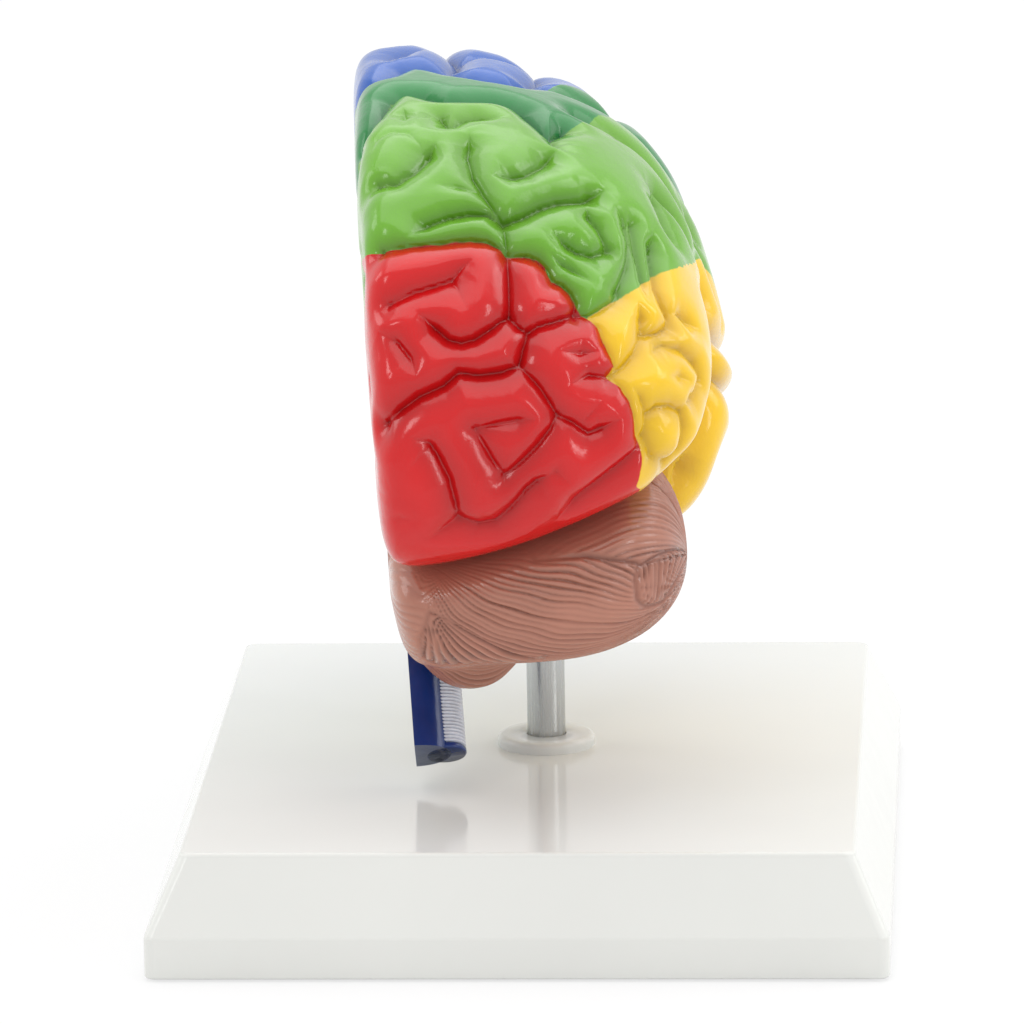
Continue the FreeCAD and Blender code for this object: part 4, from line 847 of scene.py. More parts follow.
class PaintColours(bpy.types.PropertyGroup):
    """Paints and lacquers."""
    light_green: bpy.props.FloatVectorProperty(
        name="Light green", description="Parietal lobe", size=3, subtype="COLOR",
        default=colour(106, 168, 44))
    dark_green: bpy.props.FloatVectorProperty(
        name="Dark green", description="Strip ahead of the parietal lobe", size=3, subtype="COLOR",
        default=colour(16, 128, 56))
    blue: bpy.props.FloatVectorProperty(
        name="Blue", description="Frontal lobe", size=3, subtype="COLOR", default=colour(18, 88, 180))
    red: bpy.props.FloatVectorProperty(
        name="Red", description="Occipital lobe", size=3, subtype="COLOR", default=colour(206, 16, 20))
    yellow: bpy.props.FloatVectorProperty(
        name="Yellow", description="Temporal lobe", size=3, subtype="COLOR", default=colour(242, 196, 34))
    cream: bpy.props.FloatVectorProperty(
        name="Cream", description="Middle of the inner face", size=3, subtype="COLOR",
        default=colour(226, 214, 190))
    brown: bpy.props.FloatVectorProperty(
        name="Brown", description="Cerebellum", size=3, subtype="COLOR", default=colour(170, 106, 84))
    navy: bpy.props.FloatVectorProperty(
        name="Navy", description="Brain stem", size=3, subtype="COLOR", default=colour(14, 46, 110))
    navy_cut: bpy.props.FloatVectorProperty(
        name="Cut navy", description="Cut end of the brain stem", size=3, subtype="COLOR",
        default=colour(20, 42, 86))
    root_white: bpy.props.FloatVectorProperty(
        name="Root white", description="Ridged strip beside the stem", size=3, subtype="COLOR",
        default=colour(222, 226, 236))
    stand_white: bpy.props.FloatVectorProperty(
        name="Stand white", description="Moulded stand and collar", size=3, subtype="COLOR",
        default=colour(227, 228, 224))


class StandSizes(bpy.types.PropertyGroup):
    """Sizes of the moulded stand."""
    plinth: bpy.props.FloatProperty(
        name="Plinth", description="Height of the upright lower edge", default=0.0084, unit="LENGTH")
    outset: bpy.props.FloatProperty(
        name="Outset", description="How far the foot stands out beyond the top", default=0.0072,
        unit="LENGTH")
    corner: bpy.props.FloatProperty(
        name="Corner round", description="Radius of the four corners", default=0.0024, unit="LENGTH")
    rim: bpy.props.FloatProperty(
        name="Rim round", description="Radius of the top's edge", default=0.0009, unit="LENGTH")
    wall: bpy.props.FloatProperty(
        name="Wall", description="Thickness of the moulding", default=0.0026, unit="LENGTH")
    rib: bpy.props.FloatProperty(
        name="Rib", description="Thickness of the ribs below", default=0.0018, unit="LENGTH")
    rib_height: bpy.props.FloatProperty(
        name="Rib height", description="Depth of the ribs below", default=0.009, unit="LENGTH")
    boss: bpy.props.FloatProperty(
        name="Boss", description="Radius of the boss that holds the post", default=0.0095, unit="LENGTH")
    pad: bpy.props.FloatProperty(
        name="Pad", description="Side of the pads that carry the feet", default=0.013, unit="LENGTH")


class StageSizes(bpy.types.PropertyGroup):
    """Light and background."""
    key_power: bpy.props.FloatProperty(
        name="Key light", description="Power of the small light above left", default=1.35, subtype="POWER")
    fill_power: bpy.props.FloatProperty(
        name="Fill light", description="Power of the narrow light on the right", default=1.0, subtype="POWER")
    top_power: bpy.props.FloatProperty(
        name="Top light", description="Power of the light overhead", default=12.4, subtype="POWER")
    low_power: bpy.props.FloatProperty(
        name="Low lights", description="Power of each light that reaches in under the brain", default=1.4,
        subtype="POWER")
    surround: bpy.props.FloatProperty(
        name="Surround", description="Strength of the even light from all sides", default=0.78)


class Finish:
    """A shader under construction: one Principled surface and the nodes that feed it."""

    def __init__(self, name):
        self.material = bpy.data.materials.new(name)
        self.material.use_nodes = True
        self.tree = self.material.node_tree
        self.surface = self.tree.nodes["Principled BSDF"]
        self.place = self.tree.nodes.new("ShaderNodeTexCoord").outputs["Object"]

    def node(self, kind, sources=(), **settings):
        """Adds a node, with its settings and what feeds its inputs."""
        node = self.tree.nodes.new(kind)
        for key, value in settings.items():
            setattr(node, key, value)
        for socket, source in dict(sources).items():
            self.feed(node.inputs[socket], source)
        return node

    def feed(self, socket, source):
        if isinstance(source, bpy.types.NodeSocket):
            self.tree.links.new(source, socket)
        else:
            socket.default_value = source

    def sum(self, first, second):
        return self.node("ShaderNodeMath", {0: first, 1: second}, operation="ADD").outputs[0]

    def mark(self, name):
        return self.node("ShaderNodeAttribute", attribute_name=name).outputs["Fac"]

    def noise(self, scale, detail=3.0, place=None):
        return self.node("ShaderNodeTexNoise", {"Vector": place or self.place, "Scale": scale,
                                                "Detail": detail}).outputs["Fac"]

    def step(self, value, low, high, start=0.0, end=1.0):
        node = self.node("ShaderNodeMapRange", {"Value": value, "From Min": low, "From Max": high,
                                                "To Min": start, "To Max": end})
        return node.outputs["Result"]

    def blend(self, factor, first, second, mode="MIX"):
        node = self.node("ShaderNodeMix", data_type="RGBA", blend_type=mode)
        self.feed(node.inputs[0], factor)
        self.feed(node.inputs[6], first)
        self.feed(node.inputs[7], second)
        return node.outputs[2]

    def thinned(self, shade, scale, low, high):
        """The shade with the lighter and darker places that brushed paint has."""
        thin = self.step(self.noise(scale, 4.0), 0.3, 0.7, low, high)
        grey = self.node("ShaderNodeCombineColor", {0: thin, 1: thin, 2: thin}).outputs[0]
        return self.blend(1.0, shade, grey, "MULTIPLY")

    def bump(self, height, distance, strength, after=None):
        node = self.node("ShaderNodeBump", {"Height": height, "Distance": distance, "Strength": strength})
        if after:
            self.feed(node.inputs["Normal"], after)
        return node.outputs["Normal"]

    def set(self, **values):
        """Feeds inputs of the surface, named with _ for each space."""
        for name, value in values.items():
            self.feed(self.surface.inputs[name.replace("_", " ")], value)


def opaque(paint):
    """A colour with full cover."""
    return tuple(paint) + (1.0,)


def lacquer_skin(finish, roughness=0.16):
    """Gloss, faint orange peel and slow waves that hand-painted lacquer has."""
    peel = finish.bump(finish.noise(420.0, 2.0), 0.00016, 0.5)
    dust = finish.bump(finish.noise(2600.0, 2.0), 0.00003, 0.5, peel)
    finish.set(Roughness=finish.step(finish.noise(160.0), 0.3, 0.7, roughness - 0.03, roughness + 0.05),
               Normal=dust)
    finish.surface.inputs["Coat Weight"].default_value = 0.15
    finish.surface.inputs["Specular IOR Level"].default_value = 0.42
    finish.surface.inputs["Coat Roughness"].default_value = 0.06
    return finish


def cerebrum_paint():
    """Five paints that meet along the grooves, darker in the groove beds, where the paint pools and where
    crease shade is painted in.
    """
    paints = bpy.context.scene.paint_colours
    finish = Finish("cerebrum_paint")
    wander = finish.step(finish.noise(260.0), 0.2, 0.8, -0.35, 0.35)
    shade = opaque(paints.light_green)
    for name in ("dark_green", "blue", "yellow", "cream", "red"):
        edge = finish.sum(finish.mark(name + "_edge"), wander)
        shade = finish.blend(finish.step(edge, -0.16, 0.16), shade, opaque(getattr(paints, name)))
    shade = finish.thinned(shade, 45.0, 0.93, 1.05)
    # Painted shade: the colour darkens towards the bed of each groove, partly for paint that pools there and
    # partly as painted crease shade.
    pooled_and_shaded = finish.step(finish.mark("bed"), 0.08, 0.95, 0.0, 0.50)
    dark = finish.blend(1.0, shade, (0.30, 0.24, 0.22, 1.0), "MULTIPLY")
    finish.set(Base_Color=finish.blend(pooled_and_shaded, shade, dark))
    return lacquer_skin(finish).material


def cerebellum_paint():
    """Brown lacquer, a little lighter on the crests of the folds and darker between them, where the paint
    gathers and where shade is painted into the valleys.
    """
    paints = bpy.context.scene.paint_colours
    finish = Finish("cerebellum_paint")
    crest = finish.blend(0.12, opaque(paints.brown), (0.72, 0.50, 0.42, 1.0))
    # Painted shade: the valleys between the folds are darkened, partly for gathered paint and partly as
    # painted shade.
    gathered_and_shaded = finish.blend(1.0, opaque(paints.brown), (0.42, 0.34, 0.33, 1.0), "MULTIPLY")
    shade = finish.blend(finish.step(finish.mark("bed"), 0.0, 0.9), crest, gathered_and_shaded)
    finish.set(Base_Color=finish.thinned(shade, 60.0, 0.90, 1.06))
    return lacquer_skin(finish, 0.17).material


def stem_paint():
    paints = bpy.context.scene.paint_colours
    finish = Finish("stem_paint")
    shade = finish.blend(finish.mark("cut"), opaque(paints.navy), opaque(paints.navy_cut))
    finish.set(Base_Color=finish.thinned(shade, 90.0, 0.80, 1.15))
    return lacquer_skin(finish, 0.18).material


def root_paint():
    finish = Finish("root_paint")
    tone = finish.step(finish.noise(500.0), 0.3, 0.7)
    white = opaque(bpy.context.scene.paint_colours.root_white)
    finish.set(Base_Color=finish.blend(tone, white, (0.62, 0.64, 0.70, 1.0)))
    return lacquer_skin(finish, 0.25).material


def stand_plastic():
    """Glossy white moulding with the slow waves of a large flat moulded face."""
    finish = Finish("stand_plastic")
    white = opaque(bpy.context.scene.paint_colours.stand_white)
    tone = finish.step(finish.noise(22.0, 3.0), 0.3, 0.7)
    finish.set(Base_Color=finish.blend(tone, white, opaque(0.97 * value for value in white[:3])),
               Roughness=finish.step(finish.noise(90.0), 0.3, 0.7, 0.09, 0.15),
               Normal=finish.bump(finish.noise(30.0, 1.0), 0.0002, 0.25))
    finish.surface.inputs["Specular IOR Level"].default_value = 0.36
    return finish.material


def drawn_steel():
    """Drawn bar: fine lines along its length under a soft shine."""
    finish = Finish("drawn_steel")
    stretch = finish.node("ShaderNodeMapping", {"Vector": finish.place, "Scale": (1.0, 1.0, 0.02)}).outputs[0]
    lines = finish.noise(2400.0, 4.0, stretch)
    finish.set(Base_Color=finish.blend(lines, (0.42, 0.43, 0.43, 1.0), (0.58, 0.59, 0.59, 1.0)),
               Roughness=finish.step(lines, 0.3, 0.7, 0.20, 0.32), Metallic=1.0,
               Normal=finish.bump(lines, 0.00004, 0.5))
    return finish.material


def plated_steel():
    finish = Finish("plated_steel")
    spots = finish.noise(900.0)
    finish.set(Base_Color=finish.blend(spots, (0.52, 0.52, 0.49, 1.0), (0.64, 0.63, 0.60, 1.0)),
               Roughness=finish.step(spots, 0.3, 0.7, 0.28, 0.42), Metallic=1.0,
               Normal=finish.bump(spots, 0.00003, 0.4))
    return finish.material


def foot_rubber():
    finish = Finish("foot_rubber")
    grain = finish.noise(1500.0, 4.0)
    finish.set(Base_Color=finish.blend(grain, (0.018, 0.018, 0.018, 1.0), (0.032, 0.032, 0.032, 1.0)),
               Roughness=finish.step(grain, 0.3, 0.7, 0.65, 0.85), Normal=finish.bump(grain, 0.0001, 0.6))
    return finish.material


def bush_plastic():
    finish = Finish("bush_plastic")
    grain = finish.noise(1100.0, 3.0)
    finish.set(Base_Color=finish.blend(grain, (0.64, 0.63, 0.60, 1.0), (0.72, 0.71, 0.68, 1.0)),
               Roughness=finish.step(grain, 0.3, 0.7, 0.42, 0.55), Normal=finish.bump(grain, 0.00006, 0.5))
    return finish.material


class BRAIN_OT_cerebrum(bpy.types.Operator):
    """Folded casting of the right half, painted lobe by lobe"""
    bl_idname = "brain.cerebrum"
    bl_label = "Cerebrum"

    def execute(self, context):
        sizes = context.scene.casting_sizes
        width, depth = sizes.groove_width / MM, sizes.groove_depth / MM
        ball, triangles = geodesic_ball(CEREBRUM_STEPS)
        edges, _ = mesh_edges(triangles)
        points = evened(cerebrum_measure, CEREBRUM_HEART, unit(ball * CEREBRUM_STRETCH), edges,
                        cerebrum_closeness, EVEN_ROUNDS)
        for _ in range(CEREBRUM_DIVISIONS):
            points, triangles = divided(points, triangles)
            points = on_skin(cerebrum_measure, CEREBRUM_HEART, unit(points - CEREBRUM_HEART))
        grooves = all_laid(GROOVE_FAMILIES)
        creases = all_laid((("rear", REAR_CREASES),))
        points = drawn_together(points, grooves + creases, BED_REACH)
        directions = unit(points - CEREBRUM_HEART)
        skin = on_skin(cerebrum_measure, CEREBRUM_HEART, directions)
        marks = {}
        for name, (pole, chains) in PAINT_BORDERS.items():
            marks[name + "_edge"] = border_distance(skin, pole, chains)
        sunk = groove_depths(skin, grooves, width, depth)
        creased = groove_depths(skin, creases, CREASE_WIDTH, CREASE_DEPTH)
        sunk = np.maximum(sunk, CREASE_FLOOR * sunk + creased)
        slope = (skin_slope(cerebrum_measure, skin) * directions).sum(-1)
        sunk = sunk * smooth_step((slope - FADE_START) / FADE_RANGE)
        carved = skin - directions * (sunk / np.maximum(LEAST_SLOPE, slope))[:, None]
        marks["bed"] = np.clip(sunk / depth, 0.0, 1.2)
        piece = plain_mesh("cerebrum_casting", to_stand(carved), triangles, marks)
        bore(piece, (POST_X, 0.0), (BUSH_HIGH.x - BUSH_LOW.x) / 2 + CLEARANCE,
             BUSH_LOW.z - 0.02, BUSH_HIGH.z + 0.0001)
        finished(piece, cerebrum_paint(), "hemisphere", "cerebrum_paint", "cerebrum")
        return {"FINISHED"}


def unrolled(points):
    """Skin of the cerebellum laid flat round its long axis: across, and up along the curve, millimetres."""
    forward, level = UNROLL_AXIS
    turn = np.arctan2(points[..., 2] - level, forward - points[..., 1])
    return np.stack([points[..., 0], UNROLL_RADIUS * turn], -1)


def on_flat(spots):
    """Picture pixels as places on the unrolled skin: those that miss it follow the trend of the rest."""
    known = np.array(FLAT_GUIDES, float)
    hits, _ = first_hits(cerebellum_measure, *picture_rays(known), 2.2 * REACH)
    rule, _, _, _ = np.linalg.lstsq(np.insert(known, 2, 1.0, axis=1), unrolled(hits), rcond=None)
    spots = np.array(spots, float)
    hits, met = first_hits(cerebellum_measure, *picture_rays(spots), 2.2 * REACH)
    return np.where(met[:, None], unrolled(hits), np.insert(spots, 2, 1.0, axis=1) @ rule)


def fold_creases(phase, seed, keep=0.3):
    """Depth between thin folds, from 0 on a crest to 1 in a full valley: some valleys run out."""
    valley = np.abs(2.0 * (phase - np.floor(phase)) - 1.0) ** 2.0
    number = np.round(phase)
    lot = np.abs(np.sin(number * 12.9898 + seed) * 43758.5453) % 1.0
    return valley * (keep + (1.0 - keep) * lot)


def arc_offsets(flat):
    """Height at mid length of the arc through both fold ends that passes each place of the flat skin."""
    ends = on_flat(FOLD_ENDS)
    middle, half = ends.mean(axis=0), (ends[1] - ends[0]) / 2.0
    chord = np.linalg.norm(half)
    ahead = half / chord
    offset = flat - middle
    along = offset @ ahead
    over = offset @ np.array([-ahead[1], ahead[0]])
    over = np.where(np.abs(over) < 1e-3, 1e-3, over)
    centre = (along ** 2 + over ** 2 - chord ** 2) / (2.0 * over)
    side = np.sign(over)
    radius = np.sqrt(chord ** 2 + centre ** 2)
    return np.where(centre * over < 0, chord ** 2 / (side * radius - centre), centre + side * radius)


def cerebellum_folds(points, pitch):
    """Crease depth over the skin, from 0 to about 1.6 where two parts meet."""
    flat = unrolled(points)
    across, up = flat[:, 0], flat[:, 1]
    drift = 0.75 * waves(across * 0.7, up * 1.6, 9.0, 5) + 0.25 * waves(across, up * 2.0, 3.0, 6)
    creases = fold_creases(arc_offsets(flat) / pitch + drift, 1.0)
    run = across - on_flat([UPPER_START])[0][0]
    level = up - 0.55 * run + 0.0075 * run ** 2
    inside = inside_outline(flat, on_flat(UPPER_PART))
    creases = np.where(inside, fold_creases(level / (pitch * 1.1) + drift, 2.0), creases)
    inside = inside_outline(flat, on_flat(SMOOTH_PART))
    creases = np.where(inside, 0.55 * fold_creases(up / (1.9 * pitch) + 1.2 * drift, 4.0, 0.2), creases)
    edge = np.zeros(len(points))
    for outline, spot, share in ((SIDE_FAN, SIDE_FAN_CENTRE, 0.050), (LOWER_FAN, LOWER_FAN_CENTRE, 0.115)):
        centre = on_flat([spot])[0]
        angle = np.arctan2(across - centre[0], np.abs(centre[1] - up))
        inside = inside_outline(flat, on_flat(outline))
        creases = np.where(inside, 1.3 * fold_creases(angle / share + 0.35 * drift, 3.0, 0.6), creases)
    for outline, strength in ((UPPER_PART, 0.8), (SIDE_FAN, 0.6), (LOWER_FAN, 0.4)):
        chain = on_flat(outline)
        chain = np.insert(np.concatenate([chain, chain[:1]]), 2, 0.0, axis=1)
        near, gap, _, _, _ = nearest_on(chain, np.insert(flat, 2, 0.0, axis=1), FOLD_EDGE)
        edge[near] = np.maximum(edge[near], strength * (1.0 - gap / FOLD_EDGE) ** 1.3)
    fade = smooth_step(-roof_measure(points) / 2.0) * smooth_step(-wall_measure(points) / 3.0)
    breadth = 0.72 + 0.28 * waves(across, up * 2.0, 7.0, 8)
    return np.maximum(creases * breadth, edge) * fade


def banded_ball(turns, bands):
    """Unit directions and triangles of a ball banded from side to side, its points crowded to the rear."""
    share = np.arange(turns) / turns
    angle = 2 * math.pi * share + REAR_CROWDING * np.sin(2 * math.pi * share)
    slant = math.pi * np.arange(1, bands) / bands
    rows = np.stack([
        np.cos(slant)[:, None] * np.ones(turns),
        -np.sin(slant)[:, None] * np.cos(angle + math.pi)[None],
        np.sin(slant)[:, None] * np.sin(angle + math.pi)[None]], -1)
    directions = np.concatenate([[[1.0, 0.0, 0.0]], rows.reshape(-1, 3), [[-1.0, 0.0, 0.0]]])
    column = np.arange(turns)
    following = (column + 1) % turns
    triangles = []
    for band in range(bands - 2):
        low, high = 1 + band * turns, 1 + (band + 1) * turns
        triangles.append(np.stack([low + column, high + column, high + following], -1))
        triangles.append(np.stack([low + column, high + following, low + following], -1))
    last = 1 + (bands - 2) * turns
    end = np.full_like(column, len(directions) - 1)
    triangles.append(np.stack([np.zeros_like(column), 1 + column, 1 + following], -1))
    triangles.append(np.stack([end, last + following, last + column], -1))
    return directions, np.concatenate(triangles)


class BRAIN_OT_cerebellum(bpy.types.Operator):
    """Cerebellum with its thin folds, fanned at the side and below"""
    bl_idname = "brain.cerebellum"
    bl_label = "Cerebellum"

    def execute(self, context):
        sizes = context.scene.casting_sizes
        directions, triangles = banded_ball(CEREBELLUM_TURNS, CEREBELLUM_BANDS)
        points = on_skin(cerebellum_measure, CEREBELLUM_HEART, directions)
        one, two, three = points[triangles[0]]
        if np.dot(np.cross(two - one, three - one), one - CEREBELLUM_HEART) < 0:
            triangles = triangles[:, ::-1]
        creases = cerebellum_folds(points, sizes.fold_pitch / MM)
        slope = skin_slope(cerebellum_measure, points)
        points = points - slope * (creases * sizes.fold_depth / MM)[:, None]
        piece = plain_mesh("cerebellum_casting", to_stand(points), triangles, {"bed": creases})
        finished(piece, cerebellum_paint(), "hemisphere", "cerebellum_paint", "cerebellum")
        return {"FINISHED"}


# Brain stem from its cut end up: forward, height, lean, half width, half thickness
STEM_SECTIONS = [
    (-36.0, 8.9, 35.0, 7.4, 6.4),
    (-26.0, 22.6, 35.0, 7.6, 6.6),
    (-15.5, 36.0, 33.0, 10.5, 8.5),
    (-9.0, 46.5, 22.0, 13.0, 11.0),
    (-7.0, 59.0, 6.0, 10.5, 10.5),
    (-6.5, 71.9, 0.0, 7.5, 9.5),
]
STEM_INSET = 3.2
ROOT_START = 1.9
ROOT_LENGTH = 15.5
ROOT_OUTWARD = 6.4
ROOT_FORWARD = 1.0


def stem_axes(lean):
    """Across, through and along directions of a section of the stem."""
    tilt = math.radians(lean)
    return (np.array([1.0, 0.0, 0.0]), np.array([0.0, math.cos(tilt), -math.sin(tilt)]),
            np.array([0.0, math.sin(tilt), math.cos(tilt)]))


def lofted(name, rings, marks=None):
    """Closed form through rings of points in metres, with flat ends."""
    count = len(rings[0])
    points = np.concatenate(list(rings) + [rings[0].mean(axis=0)[None], rings[-1].mean(axis=0)[None]])
    column = np.arange(count)
    following = (column + 1) % count
    triangles = []
    for ring in range(len(rings) - 1):
        low, high = ring * count, (ring + 1) * count
        triangles.append(np.stack([low + column, low + following, high + following], -1))
        triangles.append(np.stack([low + column, high + following, high + column], -1))
    last = (len(rings) - 1) * count
    triangles.append(np.stack([np.full(count, len(points) - 2), following, column], -1))
    triangles.append(np.stack([np.full(count, len(points) - 1), last + column, last + following], -1))
    return plain_mesh(name, points, np.concatenate(triangles), marks)


def cut_marks(rings):
    """Values for the points of a lofted form: 1 on its first end, 0 elsewhere."""
    cut = np.zeros(len(rings) * len(rings[0]) + 2)
    cut[:len(rings[0])] = 1.0
    cut[-2] = 1.0
    return {"cut": cut}


def root_sole():
    """Navy end of the stem below the strip of roots."""
    forward, height, lean, _, _ = STEM_SECTIONS[0]
    across, through, along = stem_axes(lean)
    middle = (np.array([STEM_INSET - MEDIAL_OFFSET, forward, height]) + across * ROOT_OUTWARD
              + through * ROOT_FORWARD)
    turns = np.radians(np.arange(0, 360, 7.5))[::-1]
    oval = across * np.cos(turns)[:, None] * 4.2 + through * np.sin(turns)[:, None] * 4.6
    rings = [to_stand(middle + oval * share + along * rise)
             for share, rise in ((0.94, 0.0), (1.0, 0.3), (1.0, 1.0), (0.9, 1.5))]
    return lofted("root_sole", rings, cut_marks(rings))


def join_into(piece, others):
    """Joins the meshes of other objects into a piece."""
    form = bmesh.new()
    for source in [piece] + others:
        form.from_mesh(source.data)
    bmesh.ops.recalc_face_normals(form, faces=form.faces)
    form.to_mesh(piece.data)
    form.free()
    for source in others:
        bpy.data.objects.remove(source)


class BRAIN_OT_stem(bpy.types.Operator):
    """Half brain stem, flat on its inner side and cut square below"""
    bl_idname = "brain.stem"
    bl_label = "Brain stem"

    def execute(self, context):
        rings = []
        for forward, height, lean, half_width, half_thickness in smooth_curve(STEM_SECTIONS, 1.2):
            across, through, _ = stem_axes(lean)
            centre = np.array([STEM_INSET - MEDIAL_OFFSET, forward, height])
            turns = np.radians(np.linspace(-90.0, 90.0, 41))
            outer = (centre + across * (half_width * np.cos(turns) ** 0.9)[:, None]
                     + through * (half_thickness * np.sin(turns))[:, None])
            flat = np.linspace(0.96, -0.96, 15)[:, None] * half_thickness
            rings.append(np.concatenate([outer, centre + through * flat]))
        low = rings[0].mean(axis=0)
        end = [low + (rings[0] - low) * share for share in (0.90, 0.97)]
        rings = [to_stand(ring) for ring in end + rings]
        piece = lofted("stem_casting", rings, cut_marks(rings))
        join_into(piece, [root_sole()])
        sharp_by_angle(piece, 50.0)
        finished(piece, stem_paint(), "hemisphere", "stem_paint", "brain_stem")
        return {"FINISHED"}


def ridge_tree(material):
    """Geometry nodes: flattened beads along a line, which read as ridges across a strip."""
    tree = bpy.data.node_groups.new("root_ridges", "GeometryNodeTree")
    face = tree.interface
    face.new_socket("Geometry", in_out="INPUT", socket_type="NodeSocketGeometry")
    for name, kind in (("Start", "NodeSocketVector"), ("End", "NodeSocketVector"),
                       ("Ridges", "NodeSocketInt"), ("Bead", "NodeSocketVector"),
                       ("Turn", "NodeSocketVector")):
        face.new_socket(name, in_out="INPUT", socket_type=kind)
    face.new_socket("Geometry", in_out="OUTPUT", socket_type="NodeSocketGeometry")
    source = tree.nodes.new("NodeGroupInput")
    line = tree.nodes.new("GeometryNodeMeshLine")
    line.mode = "END_POINTS"
    bead = tree.nodes.new("GeometryNodeMeshUVSphere")
    bead.inputs["Segments"].default_value = 40
    bead.inputs["Rings"].default_value = 16
    bead.inputs["Radius"].default_value = 1.0
    strew = tree.nodes.new("GeometryNodeInstanceOnPoints")
    real = tree.nodes.new("GeometryNodeRealizeInstances")
    paint = tree.nodes.new("GeometryNodeSetMaterial")
    paint.inputs["Material"].default_value = material
    smooth = tree.nodes.new("GeometryNodeSetShadeSmooth")
    result = tree.nodes.new("NodeGroupOutput")
    join = tree.links.new
    join(source.outputs["Start"], line.inputs["Start Location"])
    join(source.outputs["End"], line.inputs["Offset"])
    join(source.outputs["Ridges"], line.inputs["Count"])
    join(line.outputs[0], strew.inputs["Points"])
    join(bead.outputs[0], strew.inputs["Instance"])
    join(source.outputs["Bead"], strew.inputs["Scale"])
    join(source.outputs["Turn"], strew.inputs["Rotation"])
    join(strew.outputs[0], real.inputs[0])
    join(real.outputs[0], smooth.inputs[0])
    join(smooth.outputs[0], paint.inputs[0])
    join(paint.outputs[0], result.inputs[0])
    return tree


class BRAIN_OT_roots(bpy.types.Operator):
    """White ridged strip of nerve roots beside the stem"""
    bl_idname = "brain.roots"
    bl_label = "Nerve roots"

    def execute(self, context):
        forward, height, lean, _, _ = STEM_SECTIONS[0]
        across, through, along = stem_axes(lean)
        low = np.array([STEM_INSET - MEDIAL_OFFSET, forward, height])
        start = low + across * ROOT_OUTWARD + through * ROOT_FORWARD + along * ROOT_START
        end = start + along * (ROOT_LENGTH - ROOT_START)
        material = root_paint()
        mesh = bpy.data.meshes.new("root_strip")
        piece = bpy.data.objects.new("root_strip", mesh)
        context.scene.collection.objects.link(piece)
        tree = ridge_tree(material)
        ridges = piece.modifiers.new("ridges", "NODES")
        ridges.node_group = tree
        turn = Matrix(casting_turn().tolist()) @ Matrix.Rotation(-math.radians(lean), 3, "X")
        values = {"Start": to_stand(start), "End": to_stand(end), "Bead": (0.0042, 0.0046, 0.00075),
                  "Turn": tuple(turn.to_euler())}
        sockets = {item.name: item.identifier for item in tree.interface.items_tree
                   if item.in_out == "INPUT"}
        for name, value in values.items():
            ridges[sockets[name]] = [float(part) for part in value]
        ridges[sockets["Ridges"]] = context.scene.casting_sizes.root_ridges
        settle(piece)
        finished(piece, material, "hemisphere", "stem_paint")
        return {"FINISHED"}


def rounded_ring(half_width, half_depth, radius, height, steps=8):
    """Rectangle with round corners at one height, metres."""
    ring = []
    for corner, (sign_x, sign_y) in enumerate(((1, 1), (-1, 1), (-1, -1), (1, -1))):
        for step in range(steps + 1):
            angle = math.radians(90.0 * corner + 90.0 * step / steps)
            ring.append((sign_x * (half_width - radius) + radius * math.cos(angle),
                         sign_y * (half_depth - radius) + radius * math.sin(angle), height))
    return np.array(ring)


def block(name, low, high):
    """Closed box between two corners, metres."""
    corners = np.array([[x, y, z] for x in (low[0], high[0]) for y in (low[1], high[1])
                        for z in (low[2], high[2])])
    sides = ((0, 1, 3, 2), (4, 6, 7, 5), (0, 4, 5, 1), (2, 3, 7, 6), (0, 2, 6, 4), (1, 5, 7, 3))
    triangles = [corner for a, b, c, d in sides for corner in ((a, b, c), (a, c, d))]
    return plain_mesh(name, corners, np.array(triangles))


def under_parts(sizes):
    """Ribs, boss and corner pads below the top of the stand."""
    root = STAND_HIGH.z - sizes.wall / 2
    width, depth = (side - sizes.outset - sizes.wall / 2 for side in (STAND_HIGH.x, STAND_HIGH.y))
    rib = sizes.rib / 2
    low = root - sizes.rib_height
    parts = [block("cross_rib", (-width, -rib, low), (width, rib, root)),
             block("long_rib", (-rib, -depth, low), (rib, depth, root))]
    washer_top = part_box("post_washer")[1].z
    parts.append(turned_form("boss", [(BOSS_HOLE, washer_top), (sizes.boss, washer_top),
                                      (sizes.boss, root), (BOSS_HOLE, root)]))
    for name in FOOT_NODES:
        foot_low, foot_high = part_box(name)
        middle = (foot_low + foot_high) / 2
        half = sizes.pad / 2
        parts.append(block(name + "_pad", (middle.x - half, middle.y - half, foot_high.z),
                           (middle.x + half, middle.y + half, root)))
    return parts


